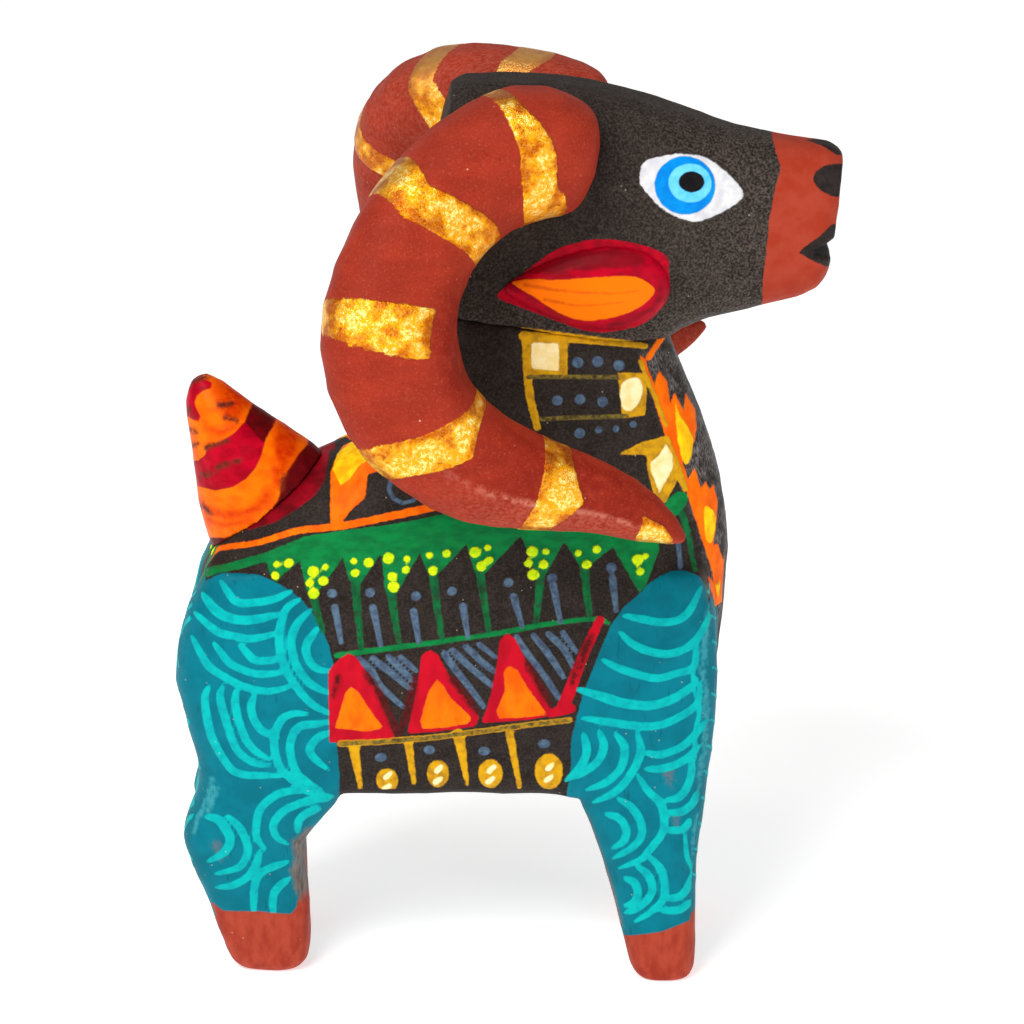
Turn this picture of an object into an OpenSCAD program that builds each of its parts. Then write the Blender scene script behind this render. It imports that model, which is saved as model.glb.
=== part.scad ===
// Small carved and painted wooden ram, put together from glued pieces.
// Millimetres. +X points to the nose, +Y to the animal's left and +Z up.
// The origin is on the ground, under the middle of the figure.

/* [Carved block: trunk, neck and legs] */
// Half the width of the trunk at its widest
trunk_half_w = 8.4; // [8:0.1:9]
// Height of the belly above the ground
belly_z = 16.3; // [16:0.1:17]
// Height of the front end of the seam between head and neck
seam_z = 55.2; // [54.6:0.1:55.4]
// Slope of that seam, rising to the rear, in degrees
seam_tilt = 8; // [6:0.5:10]
// How far the left hind leg stands behind the right one
hind_set_back = 0.3; // [0:0.1:0.5]
// Breadth of the left hind leg against the right one
hind_share = 0.9; // [0.86:0.01:1]
// Gap between the left and the right legs
leg_gap = 4.8; // [4.4:0.1:5.2]

/* [Head] */
// Half the width of the head at the horns
head_half_w = 7.2; // [6.8:0.1:7.6]
// Depth of the cut that forms the mouth
mouth_depth = 3.2; // [2.5:0.1:3.6]

/* [Horns] */
// Distance of the curl's middle line from the figure's middle plane
horn_spread = 17; // [16:0.1:18]
// Thickness of a horn from its inner to its outer face, against its breadth
horn_flatness = 0.86; // [0.8:0.01:0.95]

/* [Ears] */
// Length of an ear along the head
ear_l = 13.4; // [13:0.1:14]
// Height of an ear
ear_h = 7.6; // [7:0.1:8]
// How far an ear stands out from the head
ear_proud = 1.7; // [1.4:0.1:1.9]

/* [Tail] */
// Radius of the tail's foot
tail_r = 6; // [5.6:0.1:6.2]

/* [Joinery] */
// Radius of the neck and tail dowels
dowel_r = 1.5; // [1.3:0.1:1.6]
// Radius of the horn pegs
horn_peg_r = 1; // [0.8:0.1:1.1]
// Radius of the ear pegs
ear_peg_r = 0.6; // [0.5:0.05:0.7]
// Room for glue round each peg and between glued faces
glue = 0.05; // [0.04:0.01:0.08]

/* [Hidden] */
$fn = 48;

// Rings between two stations, and points round a ring
steps = 2;
ring_points = 24;

// Hoof, leg and trunk stations. Each row is a level or a place along X, and the outline there.
// Trunk: [x, top, bottom, half width]
trunk_rows = [
    [-25.5, 32.0, 22.0, 3.6],
    [-24.7, 35.0, 19.0, 6.0],
    [-22.1, 38.8, belly_z + 0.4, 7.8],
    [-15.5, 43.8, belly_z, 8.3],
    [-7.5, 46.8, belly_z, trunk_half_w],
    [2.5, 47.8, belly_z, trunk_half_w],
    [10.5, 44.0, belly_z, trunk_half_w],
    [14.5, 38.0, belly_z + 2, 7.6]
];
// Neck and chest: [z, rear, front, half width]
neck_rows = [
    [belly_z + 0.2, 1.5, 16.1, 7.6],
    [20, -0.5, 17.1, trunk_half_w],
    [28, -3.5, 17.7, trunk_half_w],
    [36, -7.5, 18.3, 8.3],
    [42, -9.5, 17.7, 7.9],
    [48, -9.1, 15.8, 7.3],
    [53, -7.7, 13.8, 7.0],
    [60, -7.1, 11.5, 6.8]
];
// Hind leg: [z, rear, front, inner side, outer side]
hind_rows = [
    [0, -22.1, -17.5, leg_gap / 2 + 0.3, 5.6],
    [1.0, -23.1, -16.7, leg_gap / 2, 6.4],
    [3.8, -24.1, -16.4, leg_gap / 2, 7.0],
    [8.0, -25.4, -16.5, leg_gap / 2, 7.5],
    [12.5, -26.7, -16.5, leg_gap / 2, 8.0],
    [15.6, -25.8, -13.9, leg_gap / 2, 8.3],
    [19.5, -25.3, -12.7, 1.8, 8.6],
    [26.5, -27.1, -12.7, 1.4, 8.9],
    [32.5, -25.9, -14.1, 1.4, 8.7],
    [36.4, -23.9, -16.9, 1.8, 7.8]
];
// Front leg: [z, rear, front, inner side, outer side]
front_rows = [
    [0, 11.3, 15.3, leg_gap / 2 + 0.3, 7.4],
    [1.0, 10.5, 15.8, leg_gap / 2, 7.9],
    [5.0, 9.5, 15.8, leg_gap / 2, 8.1],
    [10.3, 8.2, 15.9, leg_gap / 2, 8.2],
    [14.7, 6.7, 16.3, leg_gap / 2, 8.5],
    [19.5, 5.2, 16.9, 1.8, 8.7],
    [27.0, 5.9, 17.4, 1.4, 8.8],
    [33.0, 8.5, 17.0, 1.8, 8.5],
    [36.4, 10.9, 15.7, 2.4, 7.8]
];
// Head: [x, top, bottom, half width]
head_rows = [
    [-5.5, 70.6, 58.0, 4.2],
    [-4.7, 74.2, 54.0, 6.0],
    [-3.2, 75.9, 51.6, head_half_w - 0.3],
    [4.5, 75.7, 50.0, head_half_w],
    [9.5, 74.8, 51.6, head_half_w - 0.2],
    [14.1, 73.3, 55.4, 6.2],
    [18.5, 71.8, 56.7, 5.0],
    [23.0, 71.0, 57.6, 4.1],
    [25.9, 70.5, 58.6, 3.6],
    [27.0, 69.6, 60.2, 2.8]
];
// Right horn, from its root to its tip: [x, distance from the middle plane, z, half breadth]
right_horn_rows = [
    [7.3, 7.0, 71.0, 1.2],
    [6.8, 7.0, 71.1, 3.0],
    [5.8, 7.1, 71.3, 4.2],
    [4.0, 7.5, 71.6, 4.9],
    [1.7, 8.2, 72.0, 5.3],
    [-2.5, 10.0, 70.4, 5.1],
    [-5.9, 12.4, 67.4, 4.9],
    [-8.2, 15.0, 63.4, 5.1],
    [-8.9, horn_spread, 59.0, 5.4],
    [-7.7, horn_spread + 0.6, 54.6, 5.2],
    [-5.1, horn_spread + 0.8, 51.4, 4.8],
    [-1.5, horn_spread + 0.6, 49.0, 4.4],
    [2.9, horn_spread, 47.4, 3.6],
    [7.5, horn_spread - 0.6, 46.0, 2.9],
    [11.3, horn_spread - 1, 44.3, 2.0],
    [14.3, horn_spread - 1.2, 42.4, 0.4]
];
// Left horn, carved by eye with a tighter curl and a rising tip
left_horn_rows = [
    [8.5, 7.0, 70.2, 1.4],
    [7.4, 7.0, 70.4, 3.2],
    [5.4, 7.2, 70.9, 4.3],
    [1.7, 8.0, 71.1, 4.8],
    [-2.7, 9.4, 71.0, 5.0],
    [-5.9, 11.4, 69.6, 5.1],
    [-7.6, 13.6, 66.8, 5.0],
    [-7.8, 15.6, 62.8, 4.9],
    [-6.9, horn_spread + 0.2, 58.4, 4.9],
    [-4.1, horn_spread + 0.9, 54.4, 4.8],
    [-0.1, horn_spread + 0.7, 51.4, 4.4],
    [4.5, horn_spread, 49.8, 3.7],
    [9.5, horn_spread - 0.8, 49.1, 2.9],
    [13.5, horn_spread - 1.6, 49.3, 2.1],
    [16.8, horn_spread - 2, 50.5, 0.4]
];
// Tail, from its foot to its tip: [x, z, radius along X, radius along Y]
tail_rows = [
    [-16.8, 35.6, tail_r + 0.6, 5.4],
    [-18.4, 38.6, tail_r + 0.4, 5.0],
    [-20.5, 42.5, 5.3, 4.2],
    [-23.0, 46.6, 3.1, 2.9],
    [-24.5, 49.3, 1.8, 1.7],
    [-25.0, 50.6, 0.7, 0.7]
];

// Front of the muzzle, the height of the mouth's corner, and how far the mouth opens up and down from it
muzzle_x = 27.3;
mouth_z = 62.4;
mouth_up = 1.8;
mouth_down = 1.4;

// Block that cuts the neck and the head at their seam
cutter = [80, 40, 20];

// Front end of the seam between head and neck
seam_x = 13.3;
// Centres and lengths of the pegs
neck_dowel_x = 3;
neck_dowel_l = 12;
horn_peg_pos = [3.6, 6.6, 70.2];
horn_peg_l = 6;
ear_pos = [6.4, 7, 60.5];
ear_peg_l = 2.6;
tail_peg_pos = [-19.2, 0, 37.4];
tail_peg_l = 8;
// How far the tail and its peg lean back, in degrees
tail_lean = 25;

// Corner sharpness of a ring: 2 is an ellipse, more is squarer
soft_square = 3;
back_square = 3;
belly_square = 8;
head_square = 2.8;
horn_square = 2.7;
// How far the front of the muzzle leans back towards the chin, and where that begins
chin_lean = 0.06;
lean_from = 18.5;
// How much the chest narrows to the front
chest_taper = 0.42;
// Rings of an ear, from its root to its crown
ear_layers = 6;
// Depth of an ear's root inside the head's outline
ear_root = 1;
// Flatness of an ear's crown: the nearer to 1, the more it is a dome
ear_crown = 1.02;

// Colours of the painted ground, the horns, the ears, the tail and the bare pegs
black = [0.14, 0.11, 0.1];
brick = [0.55, 0.2, 0.13];
crimson = [0.72, 0.06, 0.14];
flame = [0.85, 0.32, 0.1];
pale_wood = [0.76, 0.62, 0.42];

function cubic(a, b, c, d, t) =
    (2 * b + (c - a) * t + (2 * a - 5 * b + 4 * c - d) * t * t + (3 * b - a - 3 * c + d) * t * t * t) / 2;
function row_at(rows, i) = rows[max(0, min(len(rows) - 1, i))];
function smooth(rows) = [
    for (k = [0 : (len(rows) - 1) * steps])
        let(i = min(floor(k / steps), len(rows) - 2), t = k / steps - i)
            cubic(row_at(rows, i - 1), rows[i], rows[i + 1], row_at(rows, i + 2), t)
];
function power(v, n) = sign(v) * pow(abs(v), 2 / n);
function unit(v) = v / norm(v);

// A rounded square of half sides 1, as [u, v] points, whose lower corners may be sharper
function squircle(n, n_low) = [
    for (j = [0 : ring_points - 1])
        let(a = 360 * (j + 0.5) / ring_points, sharp = a < 180 ? n : n_low)
            [power(cos(a), sharp), power(sin(a), sharp)]
];

// Closed solid through rings of points
module loft(rings) {
    count = len(rings[0]);
    last = len(rings) - 1;
    points = [for (ring = rings) each ring];
    sides = [
        for (i = [0 : last - 1], j = [0 : count - 1])
            let(k = (j + 1) % count, low = i * count, high = low + count)
                each [[low + j, high + j, high + k], [low + j, high + k, low + k]]
    ];
    bottom = [[for (j = [0 : count - 1]) j]];
    top = [[for (j = [count - 1 : -1 : 0]) last * count + j]];
    polyhedron(points, concat(bottom, sides, top));
}

// Rings that stand across X, with a round back and a flatter belly
function trunk_rings(grow = 0) = [
    for (r = smooth(trunk_rows))
        let(mid = (r[1] + r[2]) / 2, half = (r[1] - r[2]) / 2)
            [for (p = squircle(back_square, belly_square))
                [r[0], p[0] * (r[3] + grow), mid + p[1] * (half + grow)]]
];

// Rings that stand across X, leaning back towards the chin
function head_rings(grow = 0) = [
    for (r = smooth(head_rows))
        let(mid = (r[1] + r[2]) / 2, half = (r[1] - r[2]) / 2, lean = chin_lean * max(0, r[0] - lean_from))
            [for (p = squircle(head_square, head_square))
                [r[0] - lean * (1 - p[1]), p[0] * (r[3] + grow), mid + p[1] * (half + grow)]]
];

// Rings that lie level, for the neck
function neck_rings() = [
    for (r = smooth(neck_rows))
        let(mid = (r[1] + r[2]) / 2, half = (r[2] - r[1]) / 2)
            [for (p = squircle(soft_square, soft_square))
                [mid + p[0] * half, p[1] * r[3] * (1 - chest_taper * pow(max(0, p[0]), 2)), r[0]]]
];

// Rings that lie level, for a leg on the left side, drawn at a share of its breadth
function leg_rings(rows, share = 1) = [
    for (r = smooth(rows))
        let(mid_x = (r[1] + r[2]) / 2, half_x = share * (r[2] - r[1]) / 2,
            mid_y = (r[3] + r[4]) / 2, half_y = (r[4] - r[3]) / 2)
                [for (p = squircle(soft_square, soft_square))
                    [mid_x + p[0] * half_x, mid_y + p[1] * half_y, r[0]]]
];

// Rings square to a horn's middle line, drawn on the right side of the head
function horn_rings(stations) =
    let(rows = smooth(stations), last = len(rows) - 1)
        [for (i = [0 : last])
            let(before = rows[max(0, i - 1)], after = rows[min(last, i + 1)], here = rows[i],
                centre = [here[0], -here[1], here[2]],
                along = unit([after[0] - before[0], before[1] - after[1], after[2] - before[2]]),
                broad = unit(cross(along, [0, 1, 0])), outward = cross(broad, along))
                    [for (p = squircle(horn_square, horn_square))
                        centre + broad * p[0] * here[3] - outward * p[1] * here[3] * horn_flatness]];

// Rings that stand across Y and shrink to a domed leaf, for the right ear
function ear_rings() =
    [for (i = [0 : ear_layers])
        let(lift = i / ear_layers, shrink = sqrt(ear_crown - pow(lift, 3)))
            [for (p = leaf())
                [ear_pos[0] + p[0] * shrink * ear_l / 2,
                 -ear_pos[1] + ear_root - lift * (ear_root + ear_proud),
                 ear_pos[2] + p[1] * shrink * ear_h / 2]]];

// Leaf outline of half length and half height 1, pointed at the rear and blunt at the front
function leaf() = [
    for (j = [0 : ring_points - 1])
        let(a = 360 * j / ring_points, x = cos(a)) [x, sin(a) * (0.9 + 0.36 * x - 0.14 * x * x)]
];

// Rings across the tail's leaning axis
function tail_rings() =
    let(rows = smooth(tail_rows))
        [for (r = rows)
            [for (p = squircle(2, 2))
                [r[0] + p[0] * r[2] * cos(tail_lean), p[1] * r[3], r[1] + p[0] * r[2] * sin(tail_lean)]]];

// A left and a right leg; the left one may be set back and drawn at a share of its breadth
module leg_pair(rows, set_back = 0, share = 1) {
    translate([-set_back, 0, 0]) loft(leg_rings(rows, share));
    mirror([0, 1, 0]) loft(leg_rings(rows));
}

// Puts its children on the seam between head and neck, with the seam as their floor
module at_seam(x = 0) {
    translate([seam_x, 0, seam_z]) rotate([0, seam_tilt, 0]) translate([x - seam_x, 0, 0]) children();
}

module carved_block() {
    union() {
        loft(trunk_rings());
        difference() {
            loft(neck_rings());
            at_seam() translate([-cutter[0] / 2, -cutter[1] / 2, 0]) cube(cutter);
        }
        leg_pair(hind_rows, hind_set_back, hind_share);
        leg_pair(front_rows);
    }
}

module head_block(grow = 0) {
    loft(head_rings(grow));
}

module at_neck_dowel() {
    at_seam(neck_dowel_x) children();
}

module at_tail_peg() {
    translate(tail_peg_pos) rotate([0, -tail_lean, 0]) children();
}

module at_horn_peg() {
    translate([horn_peg_pos[0], -horn_peg_pos[1], horn_peg_pos[2]]) rotate([90, 0, 0]) children();
}

module at_ear_peg() {
    translate([ear_pos[0], -ear_pos[1], ear_pos[2]]) rotate([90, 0, 0]) children();
}

module peg(r, l) {
    translate([0, 0, -l / 2]) cylinder(r = r, h = l);
}

module bore(r, l) {
    translate([0, 0, -l / 2 - glue]) cylinder(r = r + glue, h = l + 2 * glue);
}

module both_sides() {
    children();
    mirror([0, 1, 0]) children();
}

module torso() {
    color(black) difference() {
        carved_block();
        at_neck_dowel() bore(dowel_r, neck_dowel_l);
        at_tail_peg() bore(dowel_r, tail_peg_l);
    }
}

module head() {
    color(black) difference() {
        head_block();
        at_seam() translate([-cutter[0] / 2, -cutter[1] / 2, glue - cutter[2]]) cube(cutter);
        mouth();
        at_neck_dowel() bore(dowel_r, neck_dowel_l);
        both_sides() {
            at_horn_peg() bore(horn_peg_r, horn_peg_l);
            at_ear_peg() bore(ear_peg_r, ear_peg_l);
        }
    }
}

// Wedge that opens the mouth, from the front of the muzzle
module mouth() {
    translate([0, head_half_w, 0]) rotate([90, 0, 0]) linear_extrude(2 * head_half_w)
        polygon([[muzzle_x - mouth_depth, mouth_z],
                 [muzzle_x + 1, mouth_z + mouth_up],
                 [muzzle_x + 1, mouth_z - mouth_down]]);
}

// A horn on the right side of the head, cut to sit on it
module horn(rows) {
    color(brick) difference() {
        difference() {
            loft(horn_rings(rows));
            head_block(glue);
        }
        at_horn_peg() bore(horn_peg_r, horn_peg_l);
    }
}

module right_horn() {
    horn(right_horn_rows);
}

module left_horn() {
    mirror([0, 1, 0]) horn(left_horn_rows);
}

module ear_blank() {
    difference() {
        loft(ear_rings());
        head_block(glue);
    }
}

module right_ear() {
    color(crimson) difference() {
        ear_blank();
        at_ear_peg() bore(ear_peg_r, ear_peg_l);
    }
}

module left_ear() {
    mirror([0, 1, 0]) right_ear();
}

module tail() {
    color(flame) difference() {
        loft(tail_rings());
        loft(trunk_rings(glue));
        at_tail_peg() bore(dowel_r, tail_peg_l);
    }
}

module neck_dowel() {
    color(pale_wood) at_neck_dowel() peg(dowel_r, neck_dowel_l);
}

module tail_peg() {
    color(pale_wood) at_tail_peg() peg(dowel_r, tail_peg_l);
}

module right_horn_peg() {
    color(pale_wood) at_horn_peg() peg(horn_peg_r, horn_peg_l);
}

module left_horn_peg() {
    mirror([0, 1, 0]) right_horn_peg();
}

module right_ear_peg() {
    color(pale_wood) at_ear_peg() peg(ear_peg_r, ear_peg_l);
}

module left_ear_peg() {
    mirror([0, 1, 0]) right_ear_peg();
}

torso();
head();
neck_dowel();
right_horn();
left_horn();
right_horn_peg();
left_horn_peg();
right_ear();
left_ear();
right_ear_peg();
left_ear_peg();
tail();
tail_peg();
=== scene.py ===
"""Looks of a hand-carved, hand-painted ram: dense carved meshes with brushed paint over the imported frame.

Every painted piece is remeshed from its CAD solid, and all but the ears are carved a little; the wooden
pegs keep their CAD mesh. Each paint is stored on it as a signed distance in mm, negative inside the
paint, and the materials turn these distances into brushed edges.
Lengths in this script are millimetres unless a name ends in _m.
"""

import math

import bpy
import numpy as np
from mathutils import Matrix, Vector, noise


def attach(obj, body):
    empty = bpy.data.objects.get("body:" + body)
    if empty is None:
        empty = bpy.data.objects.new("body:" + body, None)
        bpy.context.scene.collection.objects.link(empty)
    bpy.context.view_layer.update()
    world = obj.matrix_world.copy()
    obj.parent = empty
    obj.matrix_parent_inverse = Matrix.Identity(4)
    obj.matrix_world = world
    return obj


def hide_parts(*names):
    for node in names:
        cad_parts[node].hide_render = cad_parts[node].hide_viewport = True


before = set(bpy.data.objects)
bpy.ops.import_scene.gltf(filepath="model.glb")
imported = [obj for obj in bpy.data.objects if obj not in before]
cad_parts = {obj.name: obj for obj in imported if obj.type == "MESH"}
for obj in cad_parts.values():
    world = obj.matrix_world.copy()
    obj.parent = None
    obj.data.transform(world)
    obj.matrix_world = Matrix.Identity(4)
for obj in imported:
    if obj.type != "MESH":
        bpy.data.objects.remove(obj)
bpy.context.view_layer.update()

MM = 0.001
FAR = 1.6  # paint distances are kept up to here
CAMERA_ELEVATION = math.radians(20)  # the side patterns are drawn as they look from this far above
TAPER = 0.22  # share of a stroke's length over which its ends narrow
# Half widths at which the side patterns of the pieces are drawn true to height
BODY_PLANE = 8.4
HEAD_PLANE = 6.5
EAR_PLANE = 7.6
TAIL_PLANE = 3.0

# ---------------------------------------------------------------- colours


def srgb(*levels):
    """A display colour, 0 to 255, as the linear colour that a shader takes."""
    shares = [level / 255 for level in levels]
    return tuple(c / 12.92 if c <= 0.04045 else ((c + 0.055) / 1.055) ** 2.4 for c in shares)


BLACK = srgb(42, 35, 31)
# Pale grey for the painted sheen on the black
FUZZ_AND_SHEEN_GREY = srgb(150, 146, 144)
BRICK = srgb(158, 48, 29)
# Pale brick for dust, and for the painted light on the horns' lit facets and outer edges
BRICK_DUST_AND_LIGHT = srgb(178, 90, 72)
BRICK_DEEP = srgb(120, 22, 12)
TEAL = srgb(0, 117, 134)
TEAL_DEEP = srgb(0, 103, 119)
TEAL_GRAIN = srgb(4, 78, 92)
TURQUOISE = srgb(0, 181, 178)
TURQUOISE_THIN = srgb(0, 165, 168)
SCUFF = srgb(64, 150, 160)
HOOF = srgb(165, 62, 43)
WORN = srgb(92, 80, 72)
GREEN = srgb(8, 128, 62)
LIME = srgb(222, 240, 20)
BLUE_GREY = srgb(86, 110, 130)
RED = srgb(196, 10, 34)
ORANGE = srgb(255, 116, 0)
OCHRE = srgb(214, 158, 16)
OCHRE_DEEP = srgb(186, 134, 20)
CREAM = srgb(253, 236, 184)
YELLOW = srgb(252, 216, 16)
CRIMSON = srgb(190, 0, 34)
CRIMSON_DEEP = srgb(104, 12, 22)
IRIS = srgb(0, 140, 222)
SKY = srgb(112, 208, 252)
GOLD = srgb(246, 166, 20)
GOLD_DEEP = srgb(196, 98, 6)
# Painted glints on the gold
GOLD_GLINT = srgb(255, 234, 140)
WOOD = srgb(206, 160, 104)

# ---------------------------------------------------------------- meshes


def vertices(obj):
    """The piece's points in mm."""
    flat = np.empty(len(obj.data.vertices) * 3, np.float32)
    obj.data.vertices.foreach_get("co", flat)
    return flat.reshape(-1, 3).astype(float) / MM


def set_vertices(obj, points):
    obj.data.vertices.foreach_set("co", (points * MM).astype(np.float32).ravel())
    obj.data.update()


def normals(obj, passes=0):
    """The piece's normals, averaged over their neighbours the given number of times."""
    flat = np.empty(len(obj.data.vertices) * 3, np.float32)
    obj.data.vertex_normals.foreach_get("vector", flat)
    found = flat.reshape(-1, 3).astype(float)
    edges = np.empty(len(obj.data.edges) * 2, np.int32)
    obj.data.edges.foreach_get("vertices", edges)
    a, b = edges.reshape(-1, 2).T
    for _ in range(passes):
        total = found.copy()
        for axis in range(3):
            part = found[:, axis]
            total[:, axis] += np.bincount(a, part[b], len(found)) + np.bincount(b, part[a], len(found))
        found = total / np.maximum(np.linalg.norm(total, axis=1, keepdims=True), 1e-9)
    return found


def unit(values):
    """The values, kept between 0 and 1."""
    return np.clip(values, 0, 1)


def apply_modifiers(obj):
    depsgraph = bpy.context.evaluated_depsgraph_get()
    mesh = bpy.data.meshes.new_from_object(obj.evaluated_get(depsgraph), depsgraph=depsgraph)
    obj.modifiers.clear()
    obj.data = mesh


def carved_copy(node, name, voxel, smoothing):
    """A dense, closed, softened copy of a CAD node, made of even quads."""
    obj = bpy.data.objects.new(name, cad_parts[node].data.copy())
    bpy.context.scene.collection.objects.link(obj)
    weld = obj.modifiers.new("weld", "WELD")
    weld.merge_threshold = 0.002 * MM
    remesh = obj.modifiers.new("remesh", "REMESH")
    remesh.mode = "VOXEL"
    remesh.voxel_size = voxel * MM
    remesh.use_smooth_shade = True
    soften = obj.modifiers.new("soften", "SMOOTH")
    soften.factor = 0.5
    soften.iterations = smoothing
    apply_modifiers(obj)
    obj.data.materials.clear()
    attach(obj, "root")
    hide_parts(node)
    return obj


def sample(function, points, size, offset=0.0):
    """One value of a noise function for every point, for features about size mm across."""
    shift = Vector((offset, offset, offset))
    return np.array([function(Vector(p) / size + shift) for p in points])


def knife_cuts(points, size, offset):
    """Shallow scooped cuts, 0 at the ridge between two cuts and 1 in the middle of one."""
    return sample(lambda p: noise.voronoi(p)[0][1] - noise.voronoi(p)[0][0], points, size, offset)


def carve(obj, depth, size, offset):
    """Cuts the marks of a knife and a soft unevenness into a piece."""
    points = vertices(obj)
    out = normals(obj, passes=2)
    cuts = unit(knife_cuts(points, size, offset) / 0.5)
    wave = sample(noise.noise, points, size * 1.7, offset + 7)
    set_vertices(obj, points + out * (depth * (0.5 - cuts) * 0.6 + depth * 0.8 * wave)[:, None])


def store(obj, name, values):
    attribute = obj.data.attributes.new(name, "FLOAT", "POINT")
    attribute.data.foreach_set("value", np.asarray(values, np.float32))


# ---------------------------------------------------------------- drawing with a brush


def curve(points, closed=False, steps=5):
    """A smooth line through given points."""
    p = np.array(points, float)
    if len(p) < 3:
        return p
    ends = (p[-1:], p[:2]) if closed else (2 * p[:1] - p[1:2], 2 * p[-1:] - p[-2:-1])
    p = np.concatenate([ends[0], p, ends[1]])
    t = np.linspace(0, 1, steps, endpoint=False)[:, None]
    out = [
        0.5 * (2 * b + (c - a) * t + (2 * a - 5 * b + 4 * c - d) * t**2 + (3 * b - a - 3 * c + d) * t**3)
        for a, b, c, d in zip(p[:-3], p[1:-2], p[2:-1], p[3:])
    ]
    return np.concatenate(out if closed else out + [p[-2:-1]])


def to_segment(at, a, b):
    """Each point's distance to the line from a to b, and its place along that line from 0 to 1."""
    along = b - a
    t = np.clip((at - a) @ along / max(along @ along, 1e-9), 0, 1)
    return np.linalg.norm(at - a - t[:, None] * along, axis=1), t


class Canvas:
    """What is painted on a surface laid out flat: one signed distance in mm per paint and point."""

    def __init__(self, u, v):
        self.at = np.stack([u, v], 1)
        self.paints = {}

    def __getitem__(self, paint):
        return self.paints.setdefault(paint, np.full(len(self.at), FAR))

    def near(self, line, reach):
        inside = np.all((self.at > line.min(0) - reach) & (self.at < line.max(0) + reach), axis=1)
        return np.nonzero(inside)[0]

    def put(self, paint, where, distance):
        field = self[paint]
        field[where] = np.minimum(field[where], distance)

    def stroke(self, paint, points, width, end_width=None, smooth=True, tip=1.0):
        """A brush stroke along a line, from width to end_width wide, and tip times that at its two ends."""
        line = curve(points) if smooth else np.array(points, float)
        share = np.linspace(0, 1, len(line))
        radii = (width + share * ((width if end_width is None else end_width) - width)) / 2
        radii = radii * (tip + (1 - tip) * np.sqrt(np.clip(np.minimum(share, 1 - share) / TAPER, 0, 1)))
        where = self.near(line, FAR + radii.max())
        at, best = self.at[where], np.full(len(where), FAR)
        for a, b, ra, rb in zip(line[:-1], line[1:], radii[:-1], radii[1:]):
            distance, t = to_segment(at, a, b)
            best = np.minimum(best, distance - (ra + (rb - ra) * t))
        self.put(paint, where, best)

    def dots(self, paint, centres, radius, stretch=1.0):
        """Round dabs, or upright ovals that are stretch times as tall as they are wide."""
        for centre in centres:
            line = np.array([centre], float)
            where = self.near(line, FAR + radius * stretch)
            away = (self.at[where] - line[0]) / (1, stretch)
            self.put(paint, where, np.linalg.norm(away, axis=1) - radius)

    def shape(self, paint, points, smooth=False):
        """A filled outline."""
        line = curve(points, closed=True) if smooth else np.array(points, float)
        where = self.near(line, FAR)
        at, best, inside = self.at[where], np.full(len(where), FAR), np.zeros(len(where), bool)
        for a, b in zip(line, np.roll(line, -1, 0)):
            best = np.minimum(best, to_segment(at, a, b)[0])
            if a[1] != b[1]:
                crosses = (a[1] > at[:, 1]) != (b[1] > at[:, 1])
                inside ^= crosses & (at[:, 0] < a[0] + (at[:, 1] - a[1]) * (b[0] - a[0]) / (b[1] - a[1]))
        self.put(paint, where, np.where(inside, -best, best))


def merge(canvases_and_limits, paint):
    """One field for a paint from several canvases, each kept to where its limit is negative."""
    return np.minimum.reduce([np.maximum(canvas[paint], limit) for canvas, limit in canvases_and_limits])


def seen_height(points, plane):
    """The height at which each point shows when the side it faces is looked at from the camera's height."""
    return points[:, 2] + math.tan(CAMERA_ELEVATION) * (plane - np.abs(points[:, 1]))


# ---------------------------------------------------------------- the body's patterns

HIND_LEG = [
    (-30, 34), (-24.6, 35.9), (-22.9, 36.7), (-21.3, 36.7), (-19.7, 36.5), (-18.7, 36), (-17.5, 35.3),
    (-16.5, 34.5), (-15.6, 33.3), (-14.9, 32), (-14.3, 30.4), (-14, 28.9), (-13.9, 27.4), (-14, 24.3),
    (-13.8, 22), (-13.6, 19), (-13.7, 16.5), (-13.7, -2), (-30, -2),
]
FRONT_LEG = [
    (4.9, -2), (4.9, 15), (5.1, 17.6), (5.4, 19.6), (5.4, 22.2), (5.8, 24), (6.4, 26.4), (7.2, 28.6),
    (7.9, 30.6), (8.6, 32.3), (9.6, 33.9), (10.6, 34.8), (11.6, 35.9), (12.6, 36.6), (13.6, 37), (14.6, 37),
    (15.6, 36.6), (16.4, 35.6), (16.9, 34.5), (17.6, 33), (24, 32), (24, -2),
]
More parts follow.
